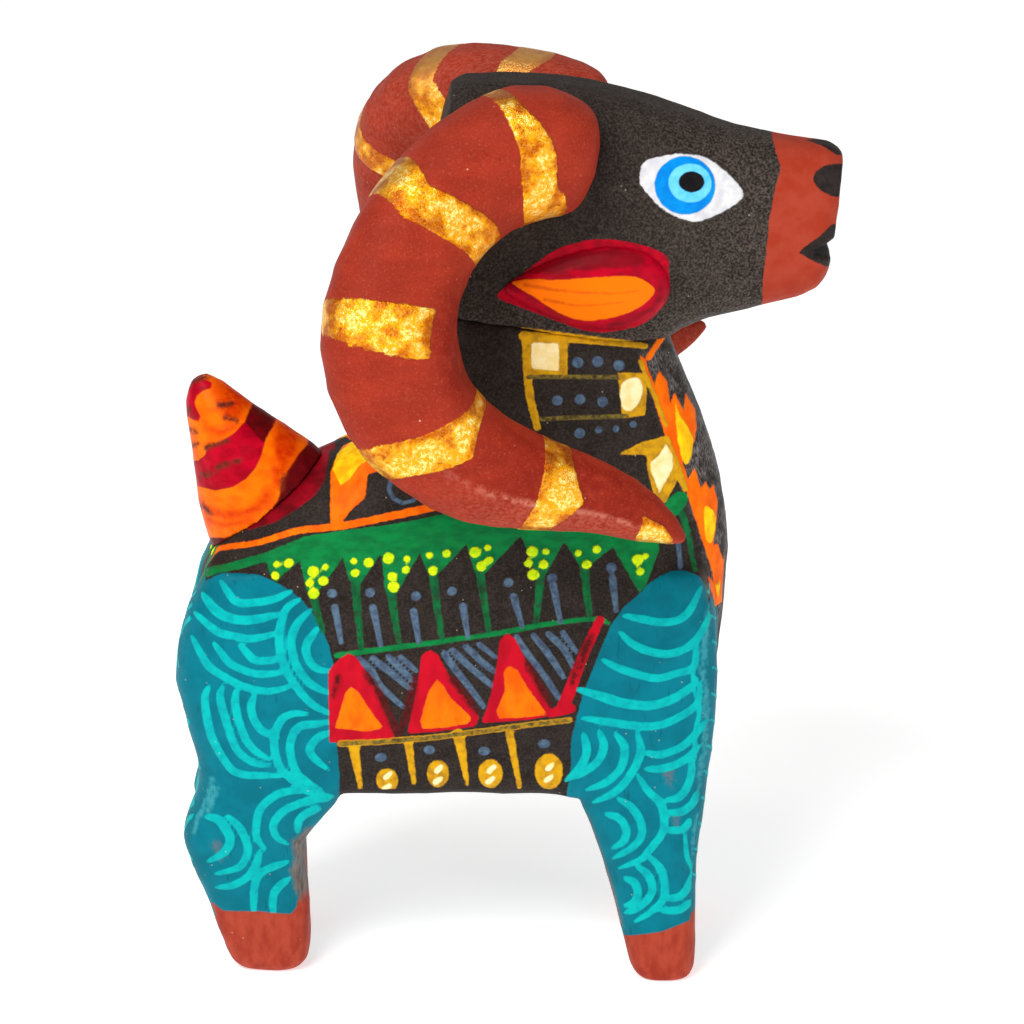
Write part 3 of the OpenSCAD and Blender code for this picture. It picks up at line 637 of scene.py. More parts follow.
class Finish:
    """A painted material under construction: its node tree and the colour and height built up so far."""

    def __init__(self, name):
        self.material = bpy.data.materials.new(name)
        self.material.use_nodes = True
        self.tree = self.material.node_tree
        self.tree.nodes.clear()
        self.output = self.add("ShaderNodeOutputMaterial")
        self.shader = self.add("ShaderNodeBsdfPrincipled")
        self.tree.links.new(self.shader.outputs["BSDF"], self.output.inputs["Surface"])
        self.place = self.add("ShaderNodeTexCoord").outputs["Object"]
        self.colour = None
        self.height = None
        self.shared = {}

    def add(self, kind, **settings):
        node = self.tree.nodes.new(kind)
        for key, value in settings.items():
            setattr(node, key, value)
        return node

    def connect(self, value, socket):
        """Feeds an input from another node, or sets it to a number or a colour."""
        if isinstance(value, bpy.types.NodeSocket):
            self.tree.links.new(value, socket)
        elif isinstance(value, tuple):
            socket.default_value = (*value, 1.0)
        else:
            socket.default_value = value

    def math(self, operation, a, b):
        node = self.add("ShaderNodeMath", operation=operation)
        self.connect(a, node.inputs[0])
        self.connect(b, node.inputs[1])
        return node.outputs[0]

    def plus(self, a, b):
        return self.math("ADD", a, b)

    def minus(self, a, b):
        return self.math("SUBTRACT", a, b)

    def times(self, a, b):
        return self.math("MULTIPLY", a, b)

    def mix(self, share, a, b):
        node = self.add("ShaderNodeMix", data_type="RGBA")
        self.connect(share, node.inputs["Factor"])
        self.connect(a, node.inputs[MIX_FIRST])
        self.connect(b, node.inputs[MIX_SECOND])
        return node.outputs[MIX_RESULT]

    def blend(self, share, amount, colour):
        """Tints the colour so far with another, by share times amount."""
        self.colour = self.mix(self.times(share, amount), self.colour, colour)

    def field(self, name):
        return self.add("ShaderNodeAttribute", attribute_name=name).outputs["Fac"]

    def ramp(self, value, low, high):
        """0 below low and 1 above high, or the other way round when low is the larger."""
        node = self.add("ShaderNodeMapRange", interpolation_type="SMOOTHSTEP")
        self.connect(value, node.inputs["Value"])
        swapped = low > high
        node.inputs["From Min"].default_value = high if swapped else low
        node.inputs["From Max"].default_value = low if swapped else high
        node.inputs["To Min"].default_value = 1.0 if swapped else 0.0
        node.inputs["To Max"].default_value = 0.0 if swapped else 1.0
        return node.outputs["Result"]

    def noise(self, size, detail=3.0, stretch=(1, 1, 1), roughness=0.55):
        """Noise with features about size mm across, drawn out along an axis by stretch."""
        mapping = self.add("ShaderNodeMapping")
        self.connect(self.place, mapping.inputs["Vector"])
        mapping.inputs["Scale"].default_value = [1 / (size * MM * s) for s in stretch]
        node = self.add("ShaderNodeTexNoise")
        self.connect(mapping.outputs["Vector"], node.inputs["Vector"])
        node.inputs["Scale"].default_value = 1.0
        node.inputs["Detail"].default_value = detail
        node.inputs["Roughness"].default_value = roughness
        return node.outputs["Fac"]

    def specks(self, size, share):
        """1 in a few tiny grains and 0 elsewhere."""
        mapping = self.add("ShaderNodeMapping")
        self.connect(self.place, mapping.inputs["Vector"])
        mapping.inputs["Scale"].default_value = [1 / (size * MM)] * 3
        node = self.add("ShaderNodeTexVoronoi")
        self.connect(mapping.outputs["Vector"], node.inputs["Vector"])
        node.inputs["Scale"].default_value = 1.0
        split = self.add("ShaderNodeSeparateColor")
        self.connect(node.outputs["Color"], split.inputs["Color"])
        chosen = self.ramp(split.outputs["Red"], 1 - share, 1 - share * 0.8)
        return self.times(chosen, self.ramp(node.outputs["Distance"], 0.26, 0.12))

    def base(self, colour, deep, size, stretch=(1, 1, 1)):
        self.colour = self.mix(self.ramp(self.noise(size, 4, stretch), 0.35, 0.7), deep, colour)

    def coat(self, paint, colour, deep, edge=0.07, ragged=0.22, cover=1.0, thick=0.04, size=1.2,
             stretch=(1, 1, 1)):
        """Brushes a paint over the last one, where its distance field is negative."""
        wander = self.times(self.minus(self.edge_noise(), 0.5), ragged)
        distance = self.plus(self.field(paint), wander)
        mask = self.ramp(distance, edge, -edge)
        if cover < 1:
            dry = self.ramp(self.dry_noise(), 0.34, 0.52)
            mask = self.times(mask, self.plus(self.times(dry, 1 - cover), cover))
        tone = self.mix(self.ramp(self.noise(size, 3, stretch), 0.3, 0.68), deep, colour)
        self.colour = self.mix(mask, self.colour, tone)
        raised = self.times(mask, thick)
        self.raise_by(raised)

    def raise_by(self, lift):
        self.height = lift if self.height is None else self.plus(self.height, lift)

    def shared_noise(self, size, detail):
        """A noise that is made once and then used by every coat."""
        if (size, detail) not in self.shared:
            self.shared[size, detail] = self.noise(size, detail)
        return self.shared[size, detail]

    def edge_noise(self):
        return self.shared_noise(0.5, 3)

    def dry_noise(self):
        return self.shared_noise(0.7, 4)

    def finish(self, roughness, grain=0.012, grain_size=0.12, brush=0.02, brush_size=(0.9, 0.25, 0.9)):
        """Sets the gloss, and turns the paint's thickness, brush marks and grain into relief."""
        fine = self.times(self.noise(grain_size, 2), grain)
        marks = self.times(self.noise(1.0, 3, brush_size), brush)
        height = self.plus(fine, marks)
        if self.height is not None:
            height = self.plus(height, self.height)
        bump = self.add("ShaderNodeBump")
        bump.inputs["Distance"].default_value = MM
        bump.inputs["Strength"].default_value = 1.0
        self.connect(height, bump.inputs["Height"])
        self.connect(bump.outputs["Normal"], self.shader.inputs["Normal"])
        self.connect(self.colour, self.shader.inputs["Base Color"])
        self.connect(roughness, self.shader.inputs["Roughness"])
        self.shader.inputs["Specular IOR Level"].default_value = 0.06
        return self.material


def dusty_black(finish, bloom_share):
    """Matt black ground: brown-black, with a soft grey bloom in the grain and a few pale grains of dust."""
    finish.base(BLACK, srgb(32, 26, 23), 1.6)
    bloom = finish.ramp(finish.noise(0.2, 3), 0.34, 0.78)
    finish.blend(bloom, bloom_share, srgb(110, 98, 90))
    pits = finish.ramp(finish.noise(0.22, 2), 0.4, 0.3)
    finish.blend(pits, 0.4, srgb(22, 17, 15))
    finish.blend(finish.specks(0.34, 0.006), 0.5, srgb(190, 180, 165))


def fuzz_and_sheen(finish):
    """Painted sheen: pale fibre-like streaks that grey the black on the front of the neck and chest, where
    it is seen at a grazing angle.
    """
    streaks = finish.ramp(finish.noise(0.14, 3, (1, 1, 3)), 0.3, 0.8)
    patches = finish.ramp(finish.noise(1.6, 3), 0.25, 0.7)
    # Where the painted sheen is laid.
    worn_and_sheen = finish.ramp(finish.field("fuzz_and_sheen"), 0.6, -0.6)
    share = finish.times(worn_and_sheen, finish.times(streaks, patches))
    finish.blend(share, 0.85, FUZZ_AND_SHEEN_GREY)


def body_finish():
    finish = Finish("painted_body")
    dusty_black(finish, 0.16)
    fuzz_and_sheen(finish)
    finish.coat("teal", TEAL, TEAL_DEEP, size=2.6)
    cracks = finish.ramp(finish.noise(0.26, 3, (1, 1, 7)), 0.62, 0.74)
    teal_only = finish.ramp(finish.field("teal"), 0.1, -0.1)
    finish.blend(cracks, finish.times(teal_only, 0.6), TEAL_GRAIN)
    finish.coat("wear_and_highlight", srgb(96, 104, 116), srgb(60, 112, 124), edge=0.3, ragged=1.2, cover=0.1, size=0.3)
    finish.coat("scuff", SCUFF, srgb(40, 140, 150), edge=0.2, ragged=0.8, cover=0.2, size=0.3,
                stretch=(1, 1, 4))
    finish.coat("turquoise", TURQUOISE, TURQUOISE_THIN, ragged=0.12, cover=0.8, size=1.4)
    finish.coat("hoof", srgb(172, 68, 48), srgb(150, 50, 34), size=0.8, stretch=(1, 1, 2.5))
    finish.blend(finish.specks(0.3, 0.012), 0.5, srgb(226, 190, 170))
    finish.coat("worn_and_sheen", srgb(126, 114, 110), WORN, edge=0.3, ragged=0.6, cover=0.7, size=0.3,
                stretch=(1, 1, 4))
    finish.coat("green", GREEN, srgb(6, 104, 52), cover=0.9, size=0.8, stretch=(2, 1, 1))
    finish.coat("stem", srgb(14, 108, 56), srgb(16, 76, 42), cover=0.45, size=0.6, stretch=(1, 1, 3))
    finish.coat("tail_foot", srgb(150, 4, 26), srgb(96, 6, 16), edge=0.1, size=1.2, stretch=(2, 2, 1))
    finish.coat("lime", LIME, srgb(176, 222, 16), thick=0.08, size=0.4)
    finish.coat("blue_grey", BLUE_GREY, srgb(62, 76, 100), cover=0.7, size=0.5)
    finish.coat("red", RED, srgb(172, 6, 30), cover=0.97, size=1.1, stretch=(1, 1, 2.5))
    finish.coat("maroon", srgb(96, 18, 20), srgb(66, 16, 16), edge=0.25, ragged=0.4, cover=0.3, size=0.5)
    finish.coat("orange", ORANGE, srgb(236, 90, 0), cover=0.95, size=1.1, stretch=(1, 1, 2))
    finish.coat("ochre", OCHRE, OCHRE_DEEP, cover=0.85, size=0.7)
    finish.coat("stain", srgb(124, 106, 44), srgb(70, 60, 32), cover=0.3, size=0.5)
    finish.coat("cream", CREAM, srgb(244, 216, 140), size=0.9)
    finish.coat("yellow", YELLOW, srgb(240, 170, 10), cover=0.9, size=0.8, stretch=(1, 1, 2))
    return finish.finish(0.5)


def head_finish():
    finish = Finish("painted_head")
    # Painted light: the grey bloom grows towards the front of the head as a painted sheen, and towards its
    # underside as the floor's painted reflection.
    dusty_black(finish, finish.plus(finish.times(finish.field("dust_and_painted_light"), 0.34), 0.28))
    finish.coat("brick", HOOF, srgb(158, 50, 30), size=1.6)
    finish.coat("dark", srgb(50, 42, 40), srgb(34, 28, 26), size=0.6)
    finish.coat("crimson", CRIMSON, srgb(150, 4, 26), size=0.7)
    finish.coat("ochre", OCHRE, OCHRE_DEEP, cover=0.85, size=0.7)
    finish.coat("white", srgb(222, 222, 222), srgb(200, 200, 206), ragged=0.3, thick=0.06, size=0.8)
    finish.coat("iris", IRIS, srgb(0, 120, 206), ragged=0.12, size=0.8)
    finish.coat("sky", SKY, srgb(84, 190, 246), ragged=0.12, size=0.7)
    finish.coat("pupil", srgb(24, 22, 24), srgb(14, 12, 14), ragged=0.12, thick=0.06)
    return finish.finish(0.5)


def gilded(finish):
    """Gold leaf paint: deep and middling flakes, bright flakes that are painted glints, dark pits between
    them, and the gold's mask, which the horn's material turns into real metal.
    """
    wander = finish.times(finish.minus(finish.edge_noise(), 0.5), 0.35)
    distance = finish.plus(finish.field("gold"), wander)
    mask = finish.ramp(distance, 0.06, -0.06)
    # Painted highlight: the gold is lifted a little towards each band's middle.
    patches = finish.plus(finish.noise(1.7, 3), finish.times(finish.ramp(distance, 0, -1.1), 0.1))
    tone = finish.mix(finish.ramp(patches, 0.42, 0.6), GOLD_DEEP, GOLD)
    # Painted glints: bright flakes, most where the patches run high.
    glint_flakes = finish.ramp(finish.noise(0.32, 5, roughness=0.75), 0.46, 0.58)
    shine = finish.plus(finish.times(finish.ramp(patches, 0.55, 0.66), 0.85), 0.1)
    tone = finish.mix(finish.times(glint_flakes, shine), tone, GOLD_GLINT)
    pitted = finish.times(finish.ramp(finish.noise(0.24, 3, roughness=0.7), 0.46, 0.36),
                         finish.ramp(patches, 0.62, 0.5))
    tone = finish.mix(finish.times(pitted, 0.6), tone, srgb(128, 52, 6))
    tone = finish.mix(finish.times(finish.field("dull"), 0.7), tone, srgb(222, 150, 86))
    finish.colour = finish.mix(mask, finish.colour, tone)
    flakes = finish.times(finish.noise(0.16, 2, roughness=0.8), 0.09)
    lift = finish.times(mask, finish.plus(flakes, 0.03))
    finish.raise_by(lift)
    return mask


def horn_finish():
    finish = Finish("painted_horn")
    finish.base(BRICK, srgb(144, 42, 26), 1.5, (2, 2, 1))
    creases = finish.ramp(finish.noise(0.9, 4, (3, 1, 3), roughness=0.7), 0.62, 0.72)
    finish.blend(creases, 0.3, srgb(112, 28, 18))
    # Dust, and painted light: the brick is paler on the lit facet beyond the ridge and on the outer edge.
    grainy = finish.ramp(finish.noise(0.14, 4, (2.5, 1, 2.5)), 0.36, 0.66)
    dust_and_painted_light = finish.times(finish.ramp(finish.field("dust_and_painted_light"), 0.0, 1.0), grainy)
    finish.blend(dust_and_painted_light, 0.75, BRICK_DUST_AND_LIGHT)
    # Painted shade on the inner edge and on the inner facet of the ridge, broken up like a smear.
    shade_and_smear = finish.times(finish.field("deep"), finish.ramp(finish.noise(0.8, 3), 0.2, 0.6))
    finish.blend(shade_and_smear, 0.85, BRICK_DEEP)
    # Painted highlight: a pale line along the crest of the ridge.
    wear_and_highlight = finish.times(finish.field("pale"), finish.ramp(finish.noise(0.5, 3), 0.35, 0.6))
    finish.blend(wear_and_highlight, 0.8, srgb(206, 128, 108))
    grain = finish.ramp(finish.noise(0.2, 3), 0.52, 0.74)
    finish.blend(grain, 0.3, srgb(190, 92, 68))
    pits = finish.ramp(finish.noise(0.24, 3), 0.42, 0.32)
    finish.blend(pits, 0.4, srgb(112, 32, 22))
    finish.blend(finish.specks(0.4, 0.006), 0.6, srgb(236, 190, 165))
    mask = gilded(finish)
    finish.connect(finish.times(mask, 0.75), finish.shader.inputs["Metallic"])
    roughness = finish.minus(0.56, finish.times(mask, 0.22))
    return finish.finish(roughness)


def ear_finish():
    finish = Finish("painted_ear")
    finish.base(CRIMSON, srgb(150, 2, 28), 1.2, (2, 2, 1))
    shaded = finish.plus(finish.field("shade"), finish.times(finish.noise(0.5, 4, (3, 1, 1)), 1.0))
    shade = finish.ramp(shaded, 0.75, 0.2)
    finish.blend(shade, 0.7, CRIMSON_DEEP)
    finish.coat("orange", ORANGE, ORANGE, thick=0.05, size=1.0)
    streaked = finish.plus(finish.field("streak"), finish.times(finish.edge_noise(), 0.3))
    streak = finish.ramp(streaked, 0.25, 0.0)
    finish.blend(streak, 0.65, srgb(186, 70, 10))
    return finish.finish(0.45)


def tail_finish():
    finish = Finish("painted_tail")
    finish.base(srgb(108, 6, 14), srgb(84, 6, 10), 1.0)
    finish.coat("orange", ORANGE, srgb(236, 92, 0), edge=0.1, size=0.9, stretch=(2, 2, 1))
    finish.coat("ember", srgb(196, 40, 0), srgb(222, 74, 0), edge=0.5, ragged=0.5, cover=0.7, size=0.7,
                stretch=(2, 2, 1))
    finish.coat("crimson", CRIMSON, srgb(150, 0, 24), edge=0.1, size=0.8, stretch=(2, 2, 1))
    finish.coat("dark", srgb(112, 44, 26), srgb(92, 34, 22), edge=0.25, ragged=0.6, cover=0.3, size=0.5)
    return finish.finish(0.4)


def bare_wood_finish():
    """Pegs and dowel: straight-grained pale wood."""
    finish = Finish("bare_wood")
    finish.base(WOOD, srgb(168, 120, 70), 0.4, (1, 1, 8))
    return finish.finish(0.7, brush_size=(0.3, 0.3, 3))


# ---------------------------------------------------------------- pieces

# How far each paint stands out from the wood; any other paint is flat
RELIEF = {
    "turquoise": 0.05, "lime": 0.13, "ochre": 0.06, "cream": 0.06, "blue_grey": 0.05, "orange": 0.05,
    "yellow": 0.05, "red": 0.03, "green": 0.03, "teal": 0.03, "white": 0.06, "iris": 0.03, "sky": 0.03,
    "pupil": 0.05, "gold": 0.05,
}


def raise_paint(obj, fields):
    """Gives the paint its real thickness, so that it shows on the mesh too."""
    lift = sum(RELIEF.get(name, 0.0) * unit(0.5 - field / 0.3) for name, field in fields.items())
    set_vertices(obj, vertices(obj) + normals(obj, passes=1) * lift[:, None])


def finish_piece(obj, fields, material):
    for name, field in fields.items():
        store(obj, name, field)
    obj.data.materials.append(material)
    for polygon in obj.data.polygons:
        polygon.use_smooth = True


SIDE_PAINTS = (
    "tail_foot", "turquoise", "scuff", "wear_and_highlight", "green", "stem", "lime", "blue_grey", "red", "maroon",
    "orange", "stain", "ochre", "cream", "yellow",
)


def make_body():
    obj = carved_copy("torso", "carved_body", voxel=0.27, smoothing=14)
    points, out = vertices(obj), normals(obj, passes=30)
    left = points[:, 1] > 0
    height = seen_height(points, BODY_PLANE)
    along = points[:, 0] + np.where(left, 0.5 * np.sin(height * 0.35), 0)
    side = Canvas(along, height + np.where(left, 0.35 * np.sin(points[:, 0] * 0.3), 0))
    for paint in (paint_legs, paint_band, paint_tents, paint_beads, paint_back, paint_neck):
        paint(side)
    half = Canvas(np.abs(points[:, 1]), points[:, 2])
    paint_chest(half)
    rear = Canvas(np.abs(points[:, 1]), points[:, 2])
    paint_rump(rear)
    high = unit((points[:, 2] - 30) / 6)
    front_limit = np.maximum((0.8 + 0.13 * high - out[:, 0]) * 5, 9 - points[:, 0])
    rear_limit = np.maximum((0.8 + out[:, 0]) * 5, points[:, 0] + 18)
    under_limit = np.maximum((0.55 + out[:, 2]) * 5, points[:, 2] - 30)
    between = np.maximum(-front_limit, -rear_limit)
    side_limit = np.maximum(between, -under_limit)
    fields = {}
    for name in SIDE_PAINTS:
        fields[name] = merge([(side, side_limit), (half, front_limit), (rear, rear_limit)], name)
    for name in ("teal", "hoof"):
        fields[name] = merge([(side, between), (half, front_limit), (rear, rear_limit)], name)
    # Painted sheen: the front-facing surfaces above 30 mm, and the strip drawn on the side.
    fields["fuzz_and_sheen"] = np.minimum(np.maximum(front_limit, 30 - points[:, 2]), side["fuzz_and_sheen"])
    fore_rear = np.maximum.reduce([
        (0.85 + out[:, 0]) * 5, 4 - points[:, 0], points[:, 2] - 15, 5 - points[:, 2],
    ])
    fields["worn_and_sheen"] = np.minimum(np.maximum(side["worn_and_sheen"], -under_limit), fore_rear)
    carve(obj, depth=0.16, size=4.5, offset=3.0)
    raise_paint(obj, fields)
    finish_piece(obj, fields, body_finish())
    return obj


HEAD_PAINTS = ("brick", "dark", "crimson", "ochre", "white", "iris", "sky", "pupil")


def make_head():
    obj = carved_copy("head", "carved_head", voxel=0.2, smoothing=10)
    points = vertices(obj)
    canvas = Canvas(points[:, 0], seen_height(points, HEAD_PLANE))
    canvas.shape("brick", [
        (21.3, 74.5), (21.3, 73.1), (21.5, 71.9), (21.9, 70.6), (21.4, 68.6), (21, 66), (20.8, 63.3),
        (20.6, 61.4), (20.6, 59.1), (20.6, 54), (32, 54), (32, 80), (21.3, 80),
    ])
    canvas.shape("white", [
        (10.6, 69.3), (11, 70.8), (12.4, 71.3), (14, 71.5), (16, 71.2), (17.8, 69.8), (18.9, 68.3),
        (18.2, 67.4), (16.6, 66.4), (14.7, 65.9), (12.6, 66.8), (11.2, 68.2),
    ], smooth=True)
    canvas.dots("iris", [(14.2, 68.9)], 2.4)
    canvas.dots("sky", [(14.6, 69.1)], 1.7, 0.95)
    canvas.dots("pupil", [(14.7, 69.2)], 1.0, 0.85)
    canvas.shape("nostril", [
        (24.5, 69.6), (24.7, 70.2), (25.3, 70.7), (26, 70.9), (26.8, 71), (30, 71), (30, 68.6),
        (27.5, 68.5), (26.6, 68.2), (25.8, 68.3), (25, 68.8),
    ], smooth=True)
    canvas.shape("dark", [
        (23.4, 63.5), (24.2, 64.2), (25.1, 64.9), (26, 65.9), (28, 66), (28, 62.4), (25.6, 62.4),
        (24.4, 62.9),
    ])
    canvas.shape("dark", [
        (23.6, 73.4), (24.6, 72.9), (25.6, 72.3), (26.3, 71.8), (30, 71.7), (30, 76), (23.6, 76),
    ])
    canvas.shape("crimson", [
        (-0.6, 59.6), (0.7, 60.9), (3.8, 63.3), (6.2, 64.2), (8.7, 64.3), (11.2, 63.8), (12.8, 63),
        (13, 62), (13, 59.6), (11.6, 57.8), (9.6, 56.9), (6.8, 56.7), (4.1, 57.6), (1, 58.8),
    ], smooth=True)
    canvas.stroke("ochre", [(1.4, 56.7), (6, 56.2), (11.4, 55.6)], 0.6, 0.5)
    canvas.shape("ochre", [(1.5, 57), (4.9, 56.6), (4.9, 54), (1.5, 54)])
    fields = {name: canvas[name] for name in HEAD_PAINTS}
    fields["dark"] = np.minimum(fields["dark"], np.maximum(canvas["nostril"], 0.9 - np.abs(points[:, 1])))
    # Painted light: greyer towards the front of the head for a sheen, and towards its underside for the
    # light the floor reflects.
    fields["dust_and_painted_light"] = unit((points[:, 0] - 8) / 10) + unit((60 - points[:, 2]) / 4)
    carve(obj, depth=0.1, size=4.0, offset=11.0)
    raise_paint(obj, fields)
    finish_piece(obj, fields, head_finish())
    return obj


# Middle of each horn from root to tip: x, distance from the middle plane, height and half breadth
RIGHT_HORN = [
    (7.3, 7, 71, 1.2), (6.8, 7, 71.1, 3), (5.8, 7.1, 71.3, 4.2), (4, 7.5, 71.6, 4.9), (1.7, 8.2, 72, 5.3),
    (-2.5, 10, 70.4, 5.1), (-5.9, 12.4, 67.4, 4.9), (-8.2, 15, 63.4, 5.1), (-8.9, 17, 59, 5.4),
    (-7.7, 17.6, 54.6, 5.2), (-5.1, 17.8, 51.4, 4.8), (-1.5, 17.6, 49, 4.4), (2.9, 17, 47.4, 3.6),
    (7.5, 16.4, 46, 2.9), (11.3, 16, 44.3, 2), (14.3, 15.8, 42.4, 0.4),
]
LEFT_HORN = [
    (8.5, 7, 70.2, 1.4), (7.4, 7, 70.4, 3.2), (5.4, 7.2, 70.9, 4.3), (1.7, 8, 71.1, 4.8),
    (-2.7, 9.4, 71, 5), (-5.9, 11.4, 69.6, 5.1), (-7.6, 13.6, 66.8, 5), (-7.8, 15.6, 62.8, 4.9),
    (-6.9, 17.2, 58.4, 4.9), (-4.1, 17.9, 54.4, 4.8), (-0.1, 17.7, 51.4, 4.4), (4.5, 17, 49.8, 3.7),
    (9.5, 16.2, 49.1, 2.9), (13.5, 15.4, 49.3, 2.1), (16.8, 15, 50.5, 0.4),
]
# Gold bands: how far in a band reaches, then at places across the horn, from inner -1 to outer 1, the
# distances from the root where it starts and ends
RIGHT_BANDS = [
    (-1.5, [(-0.7, 2.6, 9.2), (0.25, 5.1, 7.6), (0.9, 6.3, 7.4), (1.3, 6.3, 7.4)]),
    (-1.5, [(-0.65, 12.9, 17.2), (0.5, 14.7, 17.6), (1, 13.6, 16.6)]),
    (-0.62, [(-0.6, 23.3, 27.2), (1, 23.7, 25.4)]),
    (-1.5, [(-0.9, 34.3, 36), (-0.35, 33.4, 37.1), (0.5, 31.9, 34.6), (0.9, 31.7, 33.8)]),
    (-1.5, [(-1.1, 43.1, 45.3), (-0.13, 43.2, 47), (0.65, 42.9, 45.3)]),
    (-0.3, [(-0.75, 51.9, 52.7), (0, 52.2, 55.2), (0.9, 52.7, 56)]),
]
LEFT_BANDS = [
    (0.7, [(0.75, 6.6, 8.8), (0.9, 5.8, 8.6), (1.2, 3.4, 6.8)]),
    (-1.5, [(0, 11, 13.4), (0.7, 12.5, 14.1), (1.2, 12.1, 13.7)]),
    (-1.5, [(0.1, 18.1, 20.4), (0.93, 18.6, 20.1), (1.2, 18.6, 20.2)]),
    (-1.5, [(-0.8, 27.2, 31.2), (1, 28.2, 30.6)]),
    (-1.5, [(-0.8, 36.2, 39.6), (0, 35.8, 38.8), (1, 36.2, 38.4)]),
    (-1.5, [(-1, 45.2, 47.4), (0, 44.8, 48), (1, 45.2, 47.2)]),
]
RIDGE = 0.1  # place across the horn of the ridge along its lower half
RIDGE_FROM = 34  # distance from the root where that ridge begins
HORN_DUST = {"right": 0.12, "left": 0.5}


def horn_places(points, rows, sign):
    """Each point's distance along the horn, place across from inner -1 to outer 1, and place to the side."""
    line = curve(rows, steps=20) * (1, sign, 1, 1)
    middle, radius = line[:, :3], line[:, 3]
    steps = np.linalg.norm(np.diff(middle, axis=0), axis=1)
    travelled = np.concatenate([[0], np.cumsum(steps)])
    blocks = np.array_split(points, 40)
    nearest = np.concatenate([
        np.argmin(((block[:, None, :] - middle[None]) ** 2).sum(2), axis=1) for block in blocks
    ])
    tangent = np.gradient(middle, axis=0)
    tangent /= np.linalg.norm(tangent, axis=1, keepdims=True)
    outward = np.cross((0, 1, 0), tangent)
    outward /= np.linalg.norm(outward, axis=1, keepdims=True)
    sideways = np.cross(tangent, outward) * sign
    offset = points - middle[nearest]
    size = np.maximum(radius[nearest], 0.4)
    run = travelled[nearest] + (offset * tangent[nearest]).sum(1)
    across = (offset * outward[nearest]).sum(1) / size
    aside = (offset * sideways[nearest]).sum(1) / size
    return run, across, aside


def make_horn(side, rows, bands, sign):
    obj = carved_copy(f"{side}_horn", f"carved_{side}_horn", voxel=0.22, smoothing=26)
    points = vertices(obj)
    run, across, aside = horn_places(points, rows, sign)
    gold = np.full(len(points), FAR)
    for inner_end, band in bands:
        places, starts, ends = np.array(band).T
        start, end = np.interp(across, places, starts), np.interp(across, places, ends)
        gold = np.minimum(gold, np.maximum.reduce([start - run, run - end, (inner_end - across) * 4]))
    ridged = unit((run - RIDGE_FROM) / 8) * unit((57 - run) / 6) * unit(aside / 0.35)
    above = np.clip((RIDGE - across) / 0.12, -1, 1)
    # Painted shade on the inner edge, from 17 to 36 mm along the horn.
    inner_edge = unit((-0.55 - across) / 0.3) * unit((run - 17) / 5) * unit((36 - run) / 5)
    crest = unit(1 - np.abs(across - RIDGE) / 0.75)
    fields = {
        "gold": gold,
        # Dust, more on the left horn, and painted light: paler on the facet beyond the ridge and on the
        # outer edge, darker on the facet before it.
        "dust_and_painted_light": unit(HORN_DUST[side] - 0.55 * ridged * above + 0.35 * unit(across - 0.6)),
        # Painted shade: the inner edge and the facet on the inner side of the ridge.
        "deep": unit(0.8 * inner_edge + 0.75 * ridged * unit(above)),
        "dull": (sign > 0) * unit((points[:, 2] - 72) / 2.5),
        # Painted highlight along the crest of the ridge.
        "pale": ridged * unit(1 - np.abs(across - RIDGE) / 0.1),
    }
    carve(obj, depth=0.15, size=5.0, offset=21.0 + sign)
    set_vertices(obj, vertices(obj) + normals(obj, passes=3) * (ridged * (0.55 * crest - 0.2))[:, None])
    raise_paint(obj, {"gold": gold})
    finish_piece(obj, fields, horn_material)
    return obj


def make_ear(side):
    obj = carved_copy(f"{side}_ear", f"carved_{side}_ear", voxel=0.13, smoothing=6)
    points = vertices(obj)
    canvas = Canvas(points[:, 0], seen_height(points, EAR_PLANE))
    canvas.shape("orange", [
        (0.6, 61.1), (2.4, 61.4), (4.1, 61.3), (7, 61.5), (10.2, 61.6), (11.8, 60.7), (11.5, 59.8),
        (10.2, 58.8), (8.1, 58.1), (5.9, 58), (4.1, 58.7), (2.5, 59.8),
    ], smooth=True)
    canvas.stroke("streak", [(1.6, 60.9), (4.6, 60.4), (8, 60.2), (11.2, 60.5)], 0.34, 0.1)
    canvas.stroke("streak", [(3.2, 59.7), (6, 59.2), (9.4, 59.5)], 0.3, 0.1)
    canvas.shape("shade", [
        (0.6, 61.6), (3.2, 62.6), (6, 63.6), (9, 63.9), (11, 63.4), (10.4, 62.4), (7, 62.2), (4, 61.9),
    ], smooth=True)
    canvas.stroke("shade", [(8.4, 57.5), (10.4, 58.2), (12, 59.4), (12.4, 60.8)], 0.5, 0.3)
    fields = {name: canvas[name] for name in ("orange", "streak", "shade")}
    raise_paint(obj, {"orange": fields["orange"]})
    finish_piece(obj, fields, ear_material)
    return obj


TAIL_SMUDGES = [
    [(-23.3, 49.2), (-22.3, 49.4)],
    [(-25.9, 48.9), (-25.3, 48.2)],
    [(-25.8, 47.1), (-25.2, 46.9)],
    [(-25.6, 45.8), (-25.1, 45.9)],
    [(-24.4, 45.6), (-23.4, 45.9), (-22.6, 46.2)],
    [(-24.9, 43.4), (-24.2, 43.2), (-23.6, 43.6)],
    [(-23.4, 43.9), (-22.4, 44.2), (-21.4, 44.6)],
    [(-24.9, 40.6), (-24, 39.8)],
    [(-22.8, 48.2), (-21.8, 47.9)],
    [(-18.2, 42), (-18, 43.2)],
]


